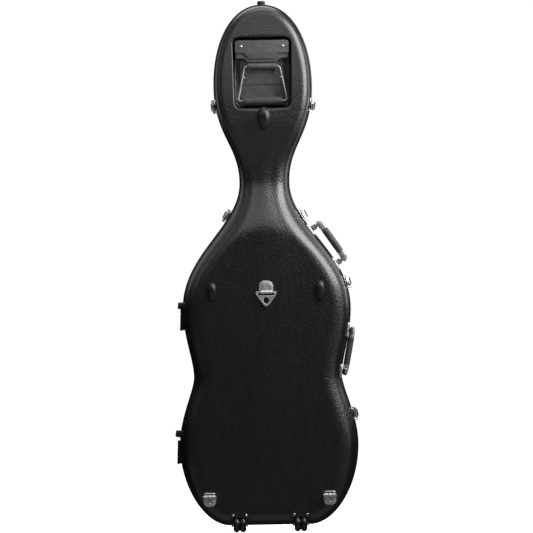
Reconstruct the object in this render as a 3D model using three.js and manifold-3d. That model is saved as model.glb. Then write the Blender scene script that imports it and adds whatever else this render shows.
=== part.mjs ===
// A hard case for a cello, closed and standing upright on two wheels and a front foot.
// Lengths are in millimetres. Z is up, X runs to the right of someone who faces the back of the
// case, and Y runs from the back shell to the lid. The origin is on the floor under the middle.
import * as THREE from "three";
import { mergeVertices } from "three/addons/utils/BufferGeometryUtils.js";
import Module from "manifold-3d";

const wasm = await Module();
wasm.setup();

// Outline, seen from the back: each rise is measured from the station below it
const stand_height = 18;
const base_flat_width = 211;
const lower_bout_rise = 210;
const lower_bout_width = 468;
const waist_rise = 182;
const waist_width = 387;
const upper_bout_rise = 179;
const upper_bout_width = 440;
const neck_rise = 334;
const neck_width = 127;
const head_rise = 255;
const head_width = 256;
const head_top_rise = 213;

// How far each stretch of the outline runs straight on at its lower and upper end
const base_corner_shares = [0.51, 0.52];
const lower_flank_shares = [0.42, 0.2];
const upper_flank_shares = [0.25, 0.39];
const shoulder_shares = [0.44, 0.35];
const head_flank_shares = [0.39, 0.51];
const head_top_shares = [0.55, 0.62];
const outline_steps = { base: 6, lower: 4, upper: 4, shoulder: 6, head: 5, top: 6 };

// Depth of each half, from the closing plane to its outer face
const back_body_depth = 160;
const back_neck_depth = 120;
const back_head_depth = 140;
const back_top_depth = 128;
const back_crown = 3;
const lid_body_depth = 128;
const lid_neck_depth = 78;
const lid_head_depth = 88;
const lid_top_depth = 80;
const lid_crown = 18;
const lid_neck_crown = 5;
const crest_rise = 196;
const crest_fall = 150;
const crest_sweep = 300;
const head_slope_length = 140;
const head_slope_drop = 85;

// Shell wall, its draft as a share of the depth, and the rounding between side and face
const shell_wall = 3;
const wall_draft_share = 0.04;
const base_edge_radius = 26;
const body_edge_radius = 46;
const head_edge_radius = 22;
const edge_change_height = 110;
const shell_steps = { arc: 3, face: 2 };
const pad_steps = { arc: 3, face: 1 };
const room_steps = { arc: 2, face: 1 };

// Clearances
const seat_gap = 0.3;
const running_gap = 0.45;
const overrun = 6;

// Aluminium valance round the edge of each half
const valance_wall = 1.8;
const valance_outer_leg = 13;
const valance_inner_leg = 11;
const valance_parting = 0.25;

// Lining and the pads inside
const lining_thickness = 7;
const lining_edge_drop = 14;

// Recess for the pull handle, in the head of the back shell
const recess_width = 152;
const recess_height = 188;
const recess_depth = 38;
const recess_corner = 13;
const recess_draft = 4;
const recess_rise = 33;

// Pull handle
const bail_wire = 5.2;
const bail_top_width = 92;
const bail_bottom_width = 131;
const bail_length = 92;
const bail_corner = 8;
const bail_pivot_inset = 14;
const bail_pivot_drop = 76;
const bail_grip_width = 20;
const bail_grip_length = 104;
const barrel_width = 15;
const handle_base_width = 118;
const handle_base_thickness = 3;
const handle_step_height = 2.5;
const handle_step_places = [0.34, 0.62];
const hood_wall = 2.6;
const hood_inset = 9;
const hood_end_height = 29;
const hood_tab_height = 47;
const hood_tab_width = 68;
const hood_tab_slope = 12;
const hood_screw_spacing = 110;
const hood_screw_drop = 20;

// Moulded resting bumps on the back
const bump_width = 25;
const bump_length = 52;
const bump_height = 14;
const bump_spacing = 286;
const bump_rise = 42;
const head_bump_width = 34;
const head_bump_length = 66;
const head_bump_height = 19;

// Rubber feet
const foot_width = 20;
const foot_tip_width = 17;
const foot_height = 16;
const foot_setback = 84;
const side_foot_upper_rise = 10;
const side_foot_lower_rise = 33;
const top_foot_width = 19;
const top_foot_base_width = 15;
const top_foot_height = 11;
const top_foot_base_height = 4.5;
const top_foot_setback = 34;
const front_foot_length = 192;
const front_foot_width = 26;
const front_foot_arch_width = 130;
const front_foot_arch_height = 16.5;
const front_foot_setback = 74;

// Wheels at the bottom corner of the back
const wheel_radius = 20;
const wheel_width = 34;
const wheel_flank_radius = 12;
const wheel_tread_spacing = 18;
const wheel_tread_fall = 2;
const wheel_tread_width = 26;
const wheel_groove_depth = 6;
const wheel_spacing = 161;
const wheel_inset = 4;
const wheel_clearance = 2;
const axle_radius = 3;
const cheek_wall = 2.8;
const cheek_radius = 8;
const bracket_width = 54;
const bracket_top = 54;
const bracket_reach = 34;
const bracket_corner = 7;
const bracket_wall = 2.6;
const bracket_screw_spacing = 34.5;
const bracket_screw_drop = 9.5;

// Screw heads
const screw_head_width = 7.4;
const screw_head_height = 1.5;
const small_screw_head_width = 4.6;
const screw_sides = 8;

// Sides of round rods and turned pieces
const rod_sides = 10;
const barrel_sides = 14;
const turned_sides = 20;

// Strap fittings: a screwed plate whose rolled edge holds a ring
const strap_plate_width = 37;
const strap_plate_height = 30;
const strap_plate_thickness = 2;
const strap_knuckle_radius = 4.4;
const strap_knuckle_bore = 2.7;
const strap_knuckle_length = 29;
const strap_screw_places = [[-8.5, 11.5], [8.5, 11.5], [0, 24.5]];
const ring_width = 55;
const ring_drop = 43;
const ring_shoulder = 6;
const ring_top_corner = 2.4;
const ring_side_corner = 5;
const ring_point_corner = 14;
const ring_thickness = 3.2;
const ring_bar = 3.6;
const ring_slot_width = 45;
const ring_slot_height = 7.6;
const ring_hole_width = 19;
const ring_hole_drop = 21.5;
const ring_hole_sides = 14;
const loop_width = 40;
const loop_end_width = 27;
const loop_reach = 27;
const loop_wire = 3.8;
const loop_corner = 5;
const loop_lift_angle = 20;
const strap_centre_rise = 43;
const strap_lower_spacing = 317;
const strap_lower_drop = 133;

// Hinges between the two shells, on the left of the back
const hinge_length = 62;
const hinge_knuckle_radius = 3.2;
const hinge_pin_radius = 1.4;
const hinge_leaf_wall = 1.2;
const hinge_leaf_width = 12.5;
const hinge_middle_length = 24;
const hinge_upper_drop = 24;
const hinge_lower_drop = 16;

// Latches
const latch_width = 36;
const latch_reach = 48;
const latch_base_length = 17;
const latch_base_wall = 2.2;
const latch_pivot_height = 8.6;
const latch_knuckle_radius = 3.6;
const latch_pin_radius = 1.8;
const latch_ear_wall = 3;
const latch_lever_wall = 3;
const latch_tab_length = 9;
const latch_tab_lift = 3;
const latch_tooth_width = 2.6;
const latch_tooth_depth = 5;
const keeper_width = 27;
const keeper_length = 16;
const keeper_wall = 2;
const keeper_lip_wall = 2.8;
const keeper_lip_height = 7.4;
const keeper_lip_inset = 1.6;
const head_latch_drop = 53;
const neck_latch_rise = 82;
const upper_latch_drop = 95;
const lower_latch_rise = 78;

// Carrying handles
const handle_span = 112;
const handle_strip_overhang = 19;
const handle_strip_width = 25;
const handle_strip_wall = 2.2;
const handle_post_length = 13.6;
const handle_post_width = 13;
const handle_post_wall = 2.4;
const handle_pivot_height = 11.5;
const handle_pin_radius = 2;
const handle_eye_radius = 4.3;
const handle_tube_radius = 3.8;
const handle_reach = 28.5;
const handle_bend = 9.5;
const handle_grip_radius = 7.8;
const handle_grip_end_radius = 6.6;
const handle_grip_length = 74;
const shoulder_handle_rise = 161;
const waist_handle_rise = 64;
const waist_handle_angle = 88;

// Inside the back: a grooved pad for the neck and its strap
const cradle_height = 56;
const cradle_drop = 62;
const cradle_top_inset = 16;
const cradle_groove_width = 46;
const cradle_groove_depth = 34;
const strap_band_width = 38;
const strap_band_wall = 2.6;
const strap_band_length = 96;

// Inside the lid: bow holders and a pouch
const bow_spacing = 190;
const bow_button_drop = 50;
const bow_button_length = 54;
const bow_button_width = 17;
const bow_button_wall = 7;
const bow_button_stand = 19;
const bow_button_post_radius = 4.5;
const tip_pocket_width = 128;
const tip_pocket_height = 54;
const tip_pocket_rise = 172;
const tip_pocket_thickness = 17;
const tip_pocket_wall = 3.5;
const tip_slot_width = 30;
const tip_slot_spacing = 58;
const tip_slot_depth = 40;
const pouch_width = 138;
const pouch_height = 150;
const pouch_thickness = 24;
const pouch_corner = 18;
const pouch_rise = 10;

// Stations worked out from the sizes
const lower_z = stand_height + lower_bout_rise;
const waist_z = lower_z + waist_rise;
const upper_z = waist_z + upper_bout_rise;
const neck_z = upper_z + neck_rise;
const head_z = neck_z + head_rise;
const top_z = head_z + head_top_rise;
const shoulder_handle_z = upper_z + shoulder_handle_rise;
const back_reach = back_body_depth + loop_reach + strap_knuckle_radius * 2;
const rim_y = (back_reach - lid_body_depth - lid_crown) / 2;
const BACK = -1;
const LID = 1;
const LEFT = -1;
const RIGHT = 1;

const materials = {
  abs: new THREE.MeshStandardMaterial({ color: 0x17181a, roughness: 0.5 }),
  aluminium: new THREE.MeshStandardMaterial({ color: 0xb9bcc0, roughness: 0.35, metalness: 1 }),
  chrome: new THREE.MeshStandardMaterial({ color: 0xd8dadd, roughness: 0.12, metalness: 1 }),
  black_steel: new THREE.MeshStandardMaterial({ color: 0x1b1c1e, roughness: 0.4, metalness: 0.6 }),
  rubber: new THREE.MeshStandardMaterial({ color: 0x141414, roughness: 0.8 }),
  grip: new THREE.MeshStandardMaterial({ color: 0x202124, roughness: 0.6 }),
  tyre: new THREE.MeshStandardMaterial({ color: 0x1a1a1b, roughness: 0.55 }),
  plush: new THREE.MeshStandardMaterial({ color: 0x24252b, roughness: 0.95 }),
  webbing: new THREE.MeshStandardMaterial({ color: 0x191a1d, roughness: 0.9 }),
};

const part = new THREE.Group();

function solid(geometry) {
  // Turns a closed three.js geometry into a solid, with shared corners merged and slivers dropped
  const bare = new THREE.BufferGeometry();
  bare.setAttribute("position", geometry.getAttribute("position"));
  bare.setIndex(geometry.getIndex());
  const merged = mergeVertices(bare, 1e-3);
  const order = merged.index
    ? Array.from(merged.index.array)
    : Array.from({ length: merged.attributes.position.count }, (_, i) => i);
  const corners = [];
  for (let i = 0; i < order.length; i += 3) {
    const [a, b, c] = [order[i], order[i + 1], order[i + 2]];
    if (a !== b && b !== c && c !== a) corners.push(a, b, c);
  }
  const build = (triVerts) => new wasm.Manifold(new wasm.Mesh({
    numProp: 3,
    vertProperties: new Float32Array(merged.attributes.position.array),
    triVerts: new Uint32Array(triVerts),
  }));
  const made = build(corners);
  return made.volume() > 0 ? made : build(corners.reverse());
}

function geometryOf(body) {
  const data = body.getMesh();
  const geometry = new THREE.BufferGeometry();
  const places = new Float32Array(data.numVert * 3);
  for (let i = 0; i < data.numVert; i += 1) {
    places.set(data.vertProperties.subarray(i * data.numProp, i * data.numProp + 3), i * 3);
  }
  geometry.setAttribute("position", new THREE.BufferAttribute(places, 3));
  geometry.setIndex(new THREE.BufferAttribute(data.triVerts, 1));
  geometry.computeVertexNormals();
  return geometry;
}

function add(name, body, material, parent = part) {
  const mesh = new THREE.Mesh(geometryOf(body), material);
  mesh.name = name;
  parent.add(mesh);
  return mesh;
}

function block(width, depth, height, x, y, z) {
  // A box with its middle at x, y, z
  return solid(new THREE.BoxGeometry(width, depth, height).translate(x, y, z));
}

function slab(x, y, z) {
  // A box given by its lowest and highest value along each axis
  const size = [x, y, z].map(([low, high]) => high - low);
  const middle = [x, y, z].map(([low, high]) => (low + high) / 2);
  return block(...size, ...middle);
}

function rod(axis, radius, length, x, y, z, sides = rod_sides) {
  // A cylinder along the named axis, with its middle at x, y, z
  const geometry = new THREE.CylinderGeometry(radius, radius, length, sides);
  if (axis === "x") geometry.rotateZ(Math.PI / 2);
  if (axis === "z") geometry.rotateX(Math.PI / 2);
  return solid(geometry.translate(x, y, z));
}

function lathe(profile, sides = turned_sides) {
  // A turned solid on the Z axis, from pairs of radius and height
  const points = profile.map(([radius, height]) => new THREE.Vector2(radius, height));
  return solid(new THREE.LatheGeometry(points, sides).rotateX(Math.PI / 2));
}

function roundedLoop(corners, radii, steps = 3) {
  // The outline of a polygon whose corners are rounded, each by its own radius or all by one
  const points = [];
  corners.forEach((corner, i) => {
    const radius = Array.isArray(radii) ? radii[i] : radii;
    if (radius === 0) {
      points.push(corner);
      return;
    }
    const from = corner.clone().sub(corners.at(i - 1)).setLength(radius);
    const to = corners[(i + 1) % corners.length].clone().sub(corner).setLength(radius);
    const bend = new THREE.QuadraticBezierCurve(
      corner.clone().sub(from), corner, corner.clone().add(to));
    points.push(...bend.getPoints(steps));
  });
  return points;
}

function rectangle(width, height) {
  const [x, y] = [width / 2, height / 2];
  return [[-x, -y], [x, -y], [x, y], [-x, y]].map(([a, b]) => new THREE.Vector2(a, b));
}

function plate(points, thickness, holes = []) {
  // A flat plate in the XZ plane, from y = 0 to y = thickness
  const shape = new THREE.Shape(points);
  shape.holes = holes.map((hole) => new THREE.Path(hole));
  const geometry = new THREE.ExtrudeGeometry(shape, { depth: thickness, bevelEnabled: false });
  return solid(geometry.rotateX(Math.PI / 2).translate(0, thickness, 0));
}

function stitched(rings, ends = "flat") {
  // A solid from rings of equal length, with strips between neighbours whose diagonals mirror
  // halfway round. Flat ends are fanned, folded ends already lie on a line, looped ends meet.
  const count = rings[0].length;
  const places = rings.flat().flatMap((p) => [p.x, p.y, p.z]);
  const order = [];
  const strips = ends === "looped" ? rings.length : rings.length - 1;
  for (let j = 0; j < strips; j += 1) {
    const here = j * count;
    const next = ((j + 1) % rings.length) * count;
    for (let i = 0; i < count; i += 1) {
      const k = (i + 1) % count;
      const [p, q, r, s] = [here + i, here + k, next + k, next + i];
      order.push(...(i < count / 2 ? [p, q, r, p, r, s] : [p, q, s, q, r, s]));
    }
  }
  if (ends === "flat") {
    const top = (rings.length - 1) * count;
    for (let i = 1; i < count - 1; i += 1) {
      order.push(0, i + 1, i, top, top + i, top + i + 1);
    }
  }
  const geometry = new THREE.BufferGeometry();
  geometry.setAttribute("position", new THREE.BufferAttribute(new Float32Array(places), 3));
  geometry.setIndex(order);
  return solid(geometry);
}

// Outline of the case

function halfOutline() {
  // The right half, from the bottom middle to the top middle, as points with outward normals
  const stations = [
    [base_flat_width / 2, stand_height],
    [lower_bout_width / 2, lower_z],
    [waist_width / 2, waist_z],
    [upper_bout_width / 2, upper_z],
    [neck_width / 2, neck_z],
    [head_width / 2, head_z],
    [0, top_z],
  ].map(([x, z]) => new THREE.Vector2(x, z));
  const steps = Object.values(outline_steps);
  const shares = [base_corner_shares, lower_flank_shares, upper_flank_shares,
    shoulder_shares, head_flank_shares, head_top_shares];
  const points = [new THREE.Vector2(0, stand_height)];
  stations.slice(1).forEach((end, i) => {
    const start = stations[i];
    const rise = end.y - start.y;
    const width = end.x - start.x;
    const [first, second] = shares[i];
    const leave = i === 0
      ? new THREE.Vector2(start.x + width * first, start.y)
      : new THREE.Vector2(start.x, start.y + rise * first);
    const arrive = i === shares.length - 1
      ? new THREE.Vector2(end.x - width * second, end.y)
      : new THREE.Vector2(end.x, end.y - rise * second);
    const curve = new THREE.CubicBezierCurve(start, leave, arrive, end);
    const stretch = curve.getPoints(steps[i]);
    points.push(...(i === 0 ? stretch : stretch.slice(1)));
  });
  return points;
}

function fullOutline() {
  // The whole loop, each point with its outward normal in the XZ plane
  const right = halfOutline();
  const left = right.slice(1, -1).reverse().map((p) => new THREE.Vector2(-p.x, p.y));
  const loop = [...right, ...left];
  return loop.map((p, i) => {
    const along = loop[(i + 1) % loop.length].clone().sub(loop.at(i - 1)).normalize();
    return { x: p.x, z: p.y, nx: along.y, nz: -along.x };
  });
}

const outline = fullOutline();
const right_half = outline.slice(0, outline.length / 2 + 1);

function outlineAt(z, side) {
  // The outline's point and outward normal at a height, on the left or the right
  const i = Math.min(right_half.findIndex((p) => p.z > z), right_half.length - 1);
  const [low, high] = [right_half[i - 1], right_half[i]];
  const share = (z - low.z) / (high.z - low.z);
  const mix = (key) => low[key] + (high[key] - low[key]) * share;
  const normal = new THREE.Vector2(mix("nx"), mix("nz")).normalize();
  return { x: side * mix("x"), z, nx: side * normal.x, nz: normal.y };
}

// Depth of the faces

function along(z, stations) {
  // A value that passes smoothly through pairs of height and value
  let i = 0;
  while (i < stations.length - 2 && z > stations[i + 1][0]) i += 1;
  const [[low, from], [high, to]] = [stations[i], stations[i + 1]];
  const share = THREE.MathUtils.clamp((z - low) / (high - low), 0, 1);
  return from + (to - from) * share * share * (3 - 2 * share);
}

const crest_z = upper_z + crest_rise;
const head_start_z = head_z - head_slope_drop;
const depth_stations = {
  [BACK]: [
    [crest_z, back_body_depth],
    [crest_z + crest_fall, back_neck_depth],
    [head_start_z - head_slope_length, back_neck_depth],
    [head_start_z, back_head_depth],
    [top_z, back_top_depth],
  ],
  [LID]: [
    [crest_z, lid_body_depth],
    [crest_z + crest_fall, lid_neck_depth],
    [head_start_z - head_slope_length, lid_neck_depth],
    [head_start_z, lid_head_depth],
    [top_z, lid_top_depth],
  ],
};
const crown_stations = {
  [BACK]: [[crest_z, back_crown], [crest_z + crest_fall, back_crown]],
  [LID]: [[upper_z, lid_crown], [crest_z + crest_fall, lid_neck_crown]],
};
const edge_stations = [
  [stand_height + base_edge_radius, base_edge_radius],
  [stand_height + base_edge_radius + edge_change_height, body_edge_radius],
  [crest_z, body_edge_radius],
  [head_start_z - head_slope_length, (body_edge_radius + head_edge_radius) / 2],
  [head_start_z, head_edge_radius],
];

function depthAt(side, x, z) {
  return along(z + (x * x) / crest_sweep, depth_stations[side]);
}

function form(side, skin, start, steps) {
  // One half of the case as a solid, its face moved inwards by skin, from the depth start
  const spine_low = stand_height + base_edge_radius + edge_change_height;
  const spine_high = head_z + head_edge_radius;
  const spine = (z) => THREE.MathUtils.clamp(z, spine_low, spine_high);
  const ring = (place) => outline.map((p) => {
    const { x, z, depth } = place(p);
    return new THREE.Vector3(x, rim_y + side * depth, z);
  });
  const inset = (p, way_in, depth) => ({ x: p.x - p.nx * way_in, z: p.z - p.nz * way_in, depth });
  const rings = [
    ring((p) => ({ x: 0, z: spine(p.z), depth: start })),
    ring((p) => inset(p, skin + wall_draft_share * start, start)),
  ];
  for (let step = 0; step <= steps.arc; step += 1) {
    const angle = (step / steps.arc) * (Math.PI / 2);
    rings.push(ring((p) => {
      const radius = along(p.z, edge_stations);
      const wall_end = depthAt(side, p.x, p.z) - radius;
      const way_in = wall_draft_share * wall_end + radius * (1 - Math.cos(angle));
      const on_skin = inset(p, way_in, 0);
      const depth = depthAt(side, on_skin.x, on_skin.z) - radius * (1 - Math.sin(angle));
      return inset(p, way_in + skin * Math.cos(angle), depth - skin * Math.sin(angle));
    }));
  }
  const edge = rings.at(-1);
  for (let step = 1; step <= steps.face; step += 1) {
    const reach = step / steps.face;
    rings.push(edge.map((p) => {
      const x = p.x * (1 - reach);
      const z = p.z + (spine(p.z) - p.z) * reach;
      const crown = along(z, crown_stations[side]) * (1 - (1 - reach) ** 2);
      return new THREE.Vector3(x, rim_y + side * (depthAt(side, x, z) - skin + crown), z);
    }));
  }
  return stitched(rings, "folded");
}

function faceY(side, x, z) {
  // The height of the face, away from the rounded edge
  return rim_y + side * depthAt(side, x, z);
}

// Spaces let into the shells

const recess_z = head_z + recess_rise;
const recess_face_y = faceY(BACK, 0, recess_z);
const recess_floor_y = recess_face_y + recess_depth;

function recess(growth) {
  // The pull handle's recess, with its walls moved outwards by growth
  const ring = (shrink, y) => roundedLoop(
    rectangle(recess_width + growth * 2 - shrink * 2, recess_height + growth * 2 - shrink * 2),
    recess_corner + growth,
  ).map((p) => new THREE.Vector3(p.x, y, recess_z + p.y));
  return stitched([
    ring(-recess_draft / 2, recess_face_y - recess_depth / 2),
    ring(recess_draft, recess_floor_y + growth),
  ]);
}

const back_y = rim_y - back_body_depth;
const axle_y = back_y + wheel_inset;
const cheek_outer = wheel_width / 2 + running_gap * 2 + cheek_wall;

function wheelPocket(side, growth) {
  const half = cheek_outer + running_gap * 2 + growth;
  const x = (side * wheel_spacing) / 2;
  return slab(
    [x - half, x + half],
    [back_y - overrun, axle_y + wheel_radius + wheel_clearance + growth],
    [stand_height - overrun, wheel_radius * 2 + wheel_clearance + growth],
  );
}

function pockets(growth) {
  return [recess(growth), wheelPocket(LEFT, growth), wheelPocket(RIGHT, growth)]
    .reduce((all, one) => all.add(one));
}

function hollow(side, outer_skin, inner_skin, edge_drop, outer_steps, inner_steps) {
  // The outside and inside of a wall that follows one half and wraps the spaces let into it
  let outside = form(side, outer_skin, edge_drop, outer_steps);
  let inside = form(side, inner_skin, edge_drop - overrun, inner_steps);
  if (side === BACK) {
    outside = outside.subtract(pockets(outer_skin));
    inside = inside.subtract(pockets(inner_skin));
  }
  return { outside, inside };
}

// Shells

function bump(width, length, height, x, z) {
  const ball = new THREE.SphereGeometry(1, 14, 7).rotateX(Math.PI / 2);
  ball.scale(width / 2, height, length / 2);
  return solid(ball.translate(x, faceY(BACK, x, z), z));
}

const shell_edge = valance_parting + valance_wall + seat_gap;

function makeShells() {
  const back = hollow(BACK, 0, shell_wall, shell_edge, shell_steps, shell_steps);
  const head_bump_z = recess_z - recess_height / 2 - head_bump_length / 3;
  const bumps = [
    bump(bump_width, bump_length, bump_height, -bump_spacing / 2, upper_z + bump_rise),
    bump(bump_width, bump_length, bump_height, bump_spacing / 2, upper_z + bump_rise),
    bump(head_bump_width, head_bump_length, head_bump_height, 0, head_bump_z),
  ];
  const outside = bumps.reduce((all, one) => all.add(one.subtract(recess(0))), back.outside);
  add("back_shell", outside.subtract(back.inside), materials.abs);
  const lid = hollow(LID, 0, shell_wall, shell_edge, shell_steps, shell_steps);
  add("lid_shell", lid.outside.subtract(lid.inside), materials.abs);
}

function makeValances() {
  // A U-shaped strip that grips the edge of each shell
  const outer = -seat_gap - valance_wall;
  const slot_far = shell_wall + wall_draft_share * valance_inner_leg + seat_gap * 2;
  const profile = [
    [outer, valance_parting],
    [outer, valance_outer_leg],
    [-seat_gap, valance_outer_leg],
    [-seat_gap, valance_parting + valance_wall],
    [slot_far, valance_parting + valance_wall],
    [slot_far, valance_inner_leg],
    [slot_far + valance_wall, valance_inner_leg],
    [slot_far + valance_wall, valance_parting],
  ];
  for (const [name, side] of [["back_valance", BACK], ["lid_valance", LID]]) {
    const rings = profile.map(([inset, depth]) => outline.map((p) => new THREE.Vector3(
      p.x - p.nx * inset, rim_y + side * depth, p.z - p.nz * inset)));
    add(name, stitched(rings, "looped"), materials.aluminium);
  }
}

// Surfaces that fittings are seated on: the outer faces, grown by the seating gap
const seat_form = {
  [BACK]: form(BACK, -seat_gap, -overrun, shell_steps),
  [LID]: form(LID, -seat_gap, -overrun, shell_steps),
};

function seated(body, frame, side) {
  // Cuts a fitting, given in its own frame, to the shell that carries it
  const back = frame.clone().invert();
  return body.subtract(seat_form[side].transform(back.elements));
}

function frameAt(place, normal) {
  // Local X runs along the outline, local Y towards the lid, local Z outwards
  const out = new THREE.Vector3(normal.x, 0, normal.z).normalize();
  const lid_way = new THREE.Vector3(0, 1, 0);
  const run = new THREE.Vector3().crossVectors(lid_way, out);
  return new THREE.Matrix4().makeBasis(run, lid_way, out).setPosition(place);
}

function rimFrame(z, side) {
  const p = outlineAt(z, side);
  return frameAt(new THREE.Vector3(p.x, rim_y, p.z), new THREE.Vector3(p.nx, 0, p.nz));
}

function groupAt(frame) {
  const group = new THREE.Group();
  group.applyMatrix4(frame);
  part.add(group);
  return group;
}

// Pull handle in its recess

function screwHead(x, y, z, width = screw_head_width) {
  // A low domed head on a face that looks towards -Y
  const [radius, rise] = [width / 2, screw_head_height];
  const head = [[0, -rise], [radius, -rise], [radius, rise * 0.4], [radius / 2, rise], [0, rise]];
  const points = head.map(([r, h]) => new THREE.Vector2(r, h));
  const dome = new THREE.LatheGeometry(points, screw_sides).rotateX(Math.PI);
  return solid(dome.translate(x, y, z));
}

function makePullHandle() {
  const top = recess_z + recess_height / 2;
  const pivot_z = top - bail_pivot_drop;
  const pivot_y = recess_face_y + bail_pivot_inset;
  const floor_y = recess_floor_y - seat_gap;
  const inner_width = recess_width - recess_draft * 2 - running_gap * 2;
  const foot_z = recess_z - recess_height / 2 + recess_draft * 2;

  const hood_face_y = recess_face_y + hood_inset;
  const hood_top = top - recess_draft - running_gap;
  const half = inner_width / 2;
  const tab = hood_tab_width / 2;
  const end_z = hood_top - hood_end_height;
  const tab_z = hood_top - hood_tab_height;
  const face = plate([
    [-half, hood_top], [-half, end_z], [-tab - hood_tab_slope, end_z], [-tab, tab_z],
    [tab, tab_z], [tab + hood_tab_slope, end_z], [half, end_z], [half, hood_top],
  ].map(([x, z]) => new THREE.Vector2(x, z)), hood_wall).translate([0, hood_face_y, 0]);
  const flange = (x, z, width, height) => block(
    width, floor_y - hood_face_y, height, x, (floor_y + hood_face_y) / 2, z);
  const flange_z = (hood_top + end_z) / 2;
  const hood = [
    flange(-half + hood_wall / 2 + recess_draft, flange_z, hood_wall, hood_end_height),
    flange(half - hood_wall / 2 - recess_draft, flange_z, hood_wall, hood_end_height),
    flange(0, hood_top - hood_wall / 2 - recess_draft, inner_width - recess_draft * 2, hood_wall),
    screwHead(-hood_screw_spacing / 2, hood_face_y, hood_top - hood_screw_drop + recess_draft),
    screwHead(hood_screw_spacing / 2, hood_face_y, hood_top - hood_screw_drop + recess_draft),
  ].reduce((all, one) => all.add(one), face);
  const inside_recess = recess(-running_gap);
  add("pull_handle_cover", hood.intersect(inside_recess), materials.abs);

  const barrel_length = bail_top_width - bail_corner * 2;
  const base_top = tab_z + hood_tab_height / 3;
  const steps = handle_step_places.map((share) => base_top - share * (base_top - foot_z));
  const base = [
    slab([-handle_base_width / 2, handle_base_width / 2],
      [floor_y - handle_base_thickness, floor_y], [foot_z, base_top]),
    ...steps.map((z) => slab([-handle_base_width / 2, handle_base_width / 2],
      [floor_y - handle_base_thickness - handle_step_height, floor_y - handle_base_thickness / 2],
      [z, base_top])),
    rod("x", barrel_width / 2, barrel_length, 0, pivot_y, pivot_z, barrel_sides),
    block(barrel_length, floor_y - pivot_y, barrel_width * 0.7,
      0, (floor_y + pivot_y) / 2, pivot_z),
    screwHead(-bail_top_width / 2, floor_y - handle_base_thickness - handle_step_height,
      pivot_z - barrel_width * 1.7, small_screw_head_width),
    screwHead(bail_top_width / 2, floor_y - handle_base_thickness - handle_step_height,
      pivot_z - barrel_width * 1.7, small_screw_head_width),
  ].reduce((all, one) => all.add(one));
  const bore = rod("x", bail_wire / 2 + running_gap, bail_top_width, 0, pivot_y, pivot_z);
  add("pull_handle_base", base.subtract(bore), materials.abs);

  const loop = roundedLoop([
    [-bail_top_width / 2, pivot_z],
    [bail_top_width / 2, pivot_z],
    [bail_bottom_width / 2, pivot_z - bail_length],
    [-bail_bottom_width / 2, pivot_z - bail_length],
  ].map(([x, z]) => new THREE.Vector2(x, z)), bail_corner);
  add("pull_handle_bail", bentRod(loop, pivot_y, bail_wire / 2, "looped"), materials.chrome);

  const grip_half = bail_grip_length / 2;
  const bore_radius = bail_wire / 2 + seat_gap;
  const grip = lathe([
    [bore_radius, -grip_half], [bail_grip_width * 0.4, -grip_half],
    [bail_grip_width / 2, -grip_half * 0.85], [bail_grip_width / 2, grip_half * 0.85],
    [bail_grip_width * 0.4, grip_half], [bore_radius, grip_half], [bore_radius, -grip_half],
  ], barrel_sides);
  const turned = grip.rotate([0, 90, 0]).translate([0, pivot_y, pivot_z - bail_length]);
  add("pull_handle_grip", turned, materials.grip);
}

function bentRod(route, y, radius, ends) {
  // A round rod bent along a route in the XZ plane, looped or with flat ends
  const last = route.length - 1;
  const rings = route.map((p, i) => {
    const before = ends === "looped" ? route.at(i - 1) : route[Math.max(i - 1, 0)];
    const after = ends === "looped" ? route[(i + 1) % route.length] : route[Math.min(i + 1, last)];
    const run = after.clone().sub(before).normalize();
    return Array.from({ length: rod_sides }, (_, k) => {
      const turn = (k / rod_sides) * Math.PI * 2;
      const out = Math.cos(turn) * radius;
      return new THREE.Vector3(p.x + run.y * out, y + Math.sin(turn) * radius, p.y - run.x * out);
    });
  });
  return stitched(rings, ends);
}

// Feet

function makeFeet() {
  const foot = (height) => lathe([
    [0, -overrun], [foot_width / 2, -overrun], [foot_width / 2, 0],
    [foot_tip_width / 2, height], [0, height],
  ]);
  const places = [
    ["side_foot_upper", upper_z + side_foot_upper_rise],
    ["side_foot_lower", lower_z + side_foot_lower_rise],
  ];
  for (const [name, z] of places) {
    const frame = rimFrame(z, LEFT);
    const body = foot(foot_height).translate([0, -foot_setback, 0]);
    add(name, seated(body, frame, BACK), materials.rubber, groupAt(frame));
  }
  const top = lathe([
    [0, -overrun], [top_foot_base_width / 2, -overrun],
    [top_foot_base_width / 2, top_foot_base_height],
    [top_foot_width / 2, top_foot_base_height],
    [top_foot_width / 2, top_foot_height * 0.85],
    [top_foot_width * 0.42, top_foot_height], [0, top_foot_height],
  ]).translate([0, rim_y - top_foot_setback, top_z]);
  add("top_foot", seated(top, new THREE.Matrix4(), BACK), materials.rubber);
  const bar = new THREE.ExtrudeGeometry(
    new THREE.Shape(roundedLoop(rectangle(front_foot_length, front_foot_width),
      front_foot_width / 2)),
    { depth: stand_height + overrun, bevelEnabled: false },
  ).translate(0, rim_y + front_foot_setback, 0);
  const arch = slab([-front_foot_arch_width / 2, front_foot_arch_width / 2],
    [rim_y + front_foot_setback - front_foot_width, rim_y + front_foot_setback + front_foot_width],
    [-overrun, front_foot_arch_height]);
  add("front_foot", seated(solid(bar).subtract(arch), new THREE.Matrix4(), LID),
    materials.rubber);
}

// Wheels

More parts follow.
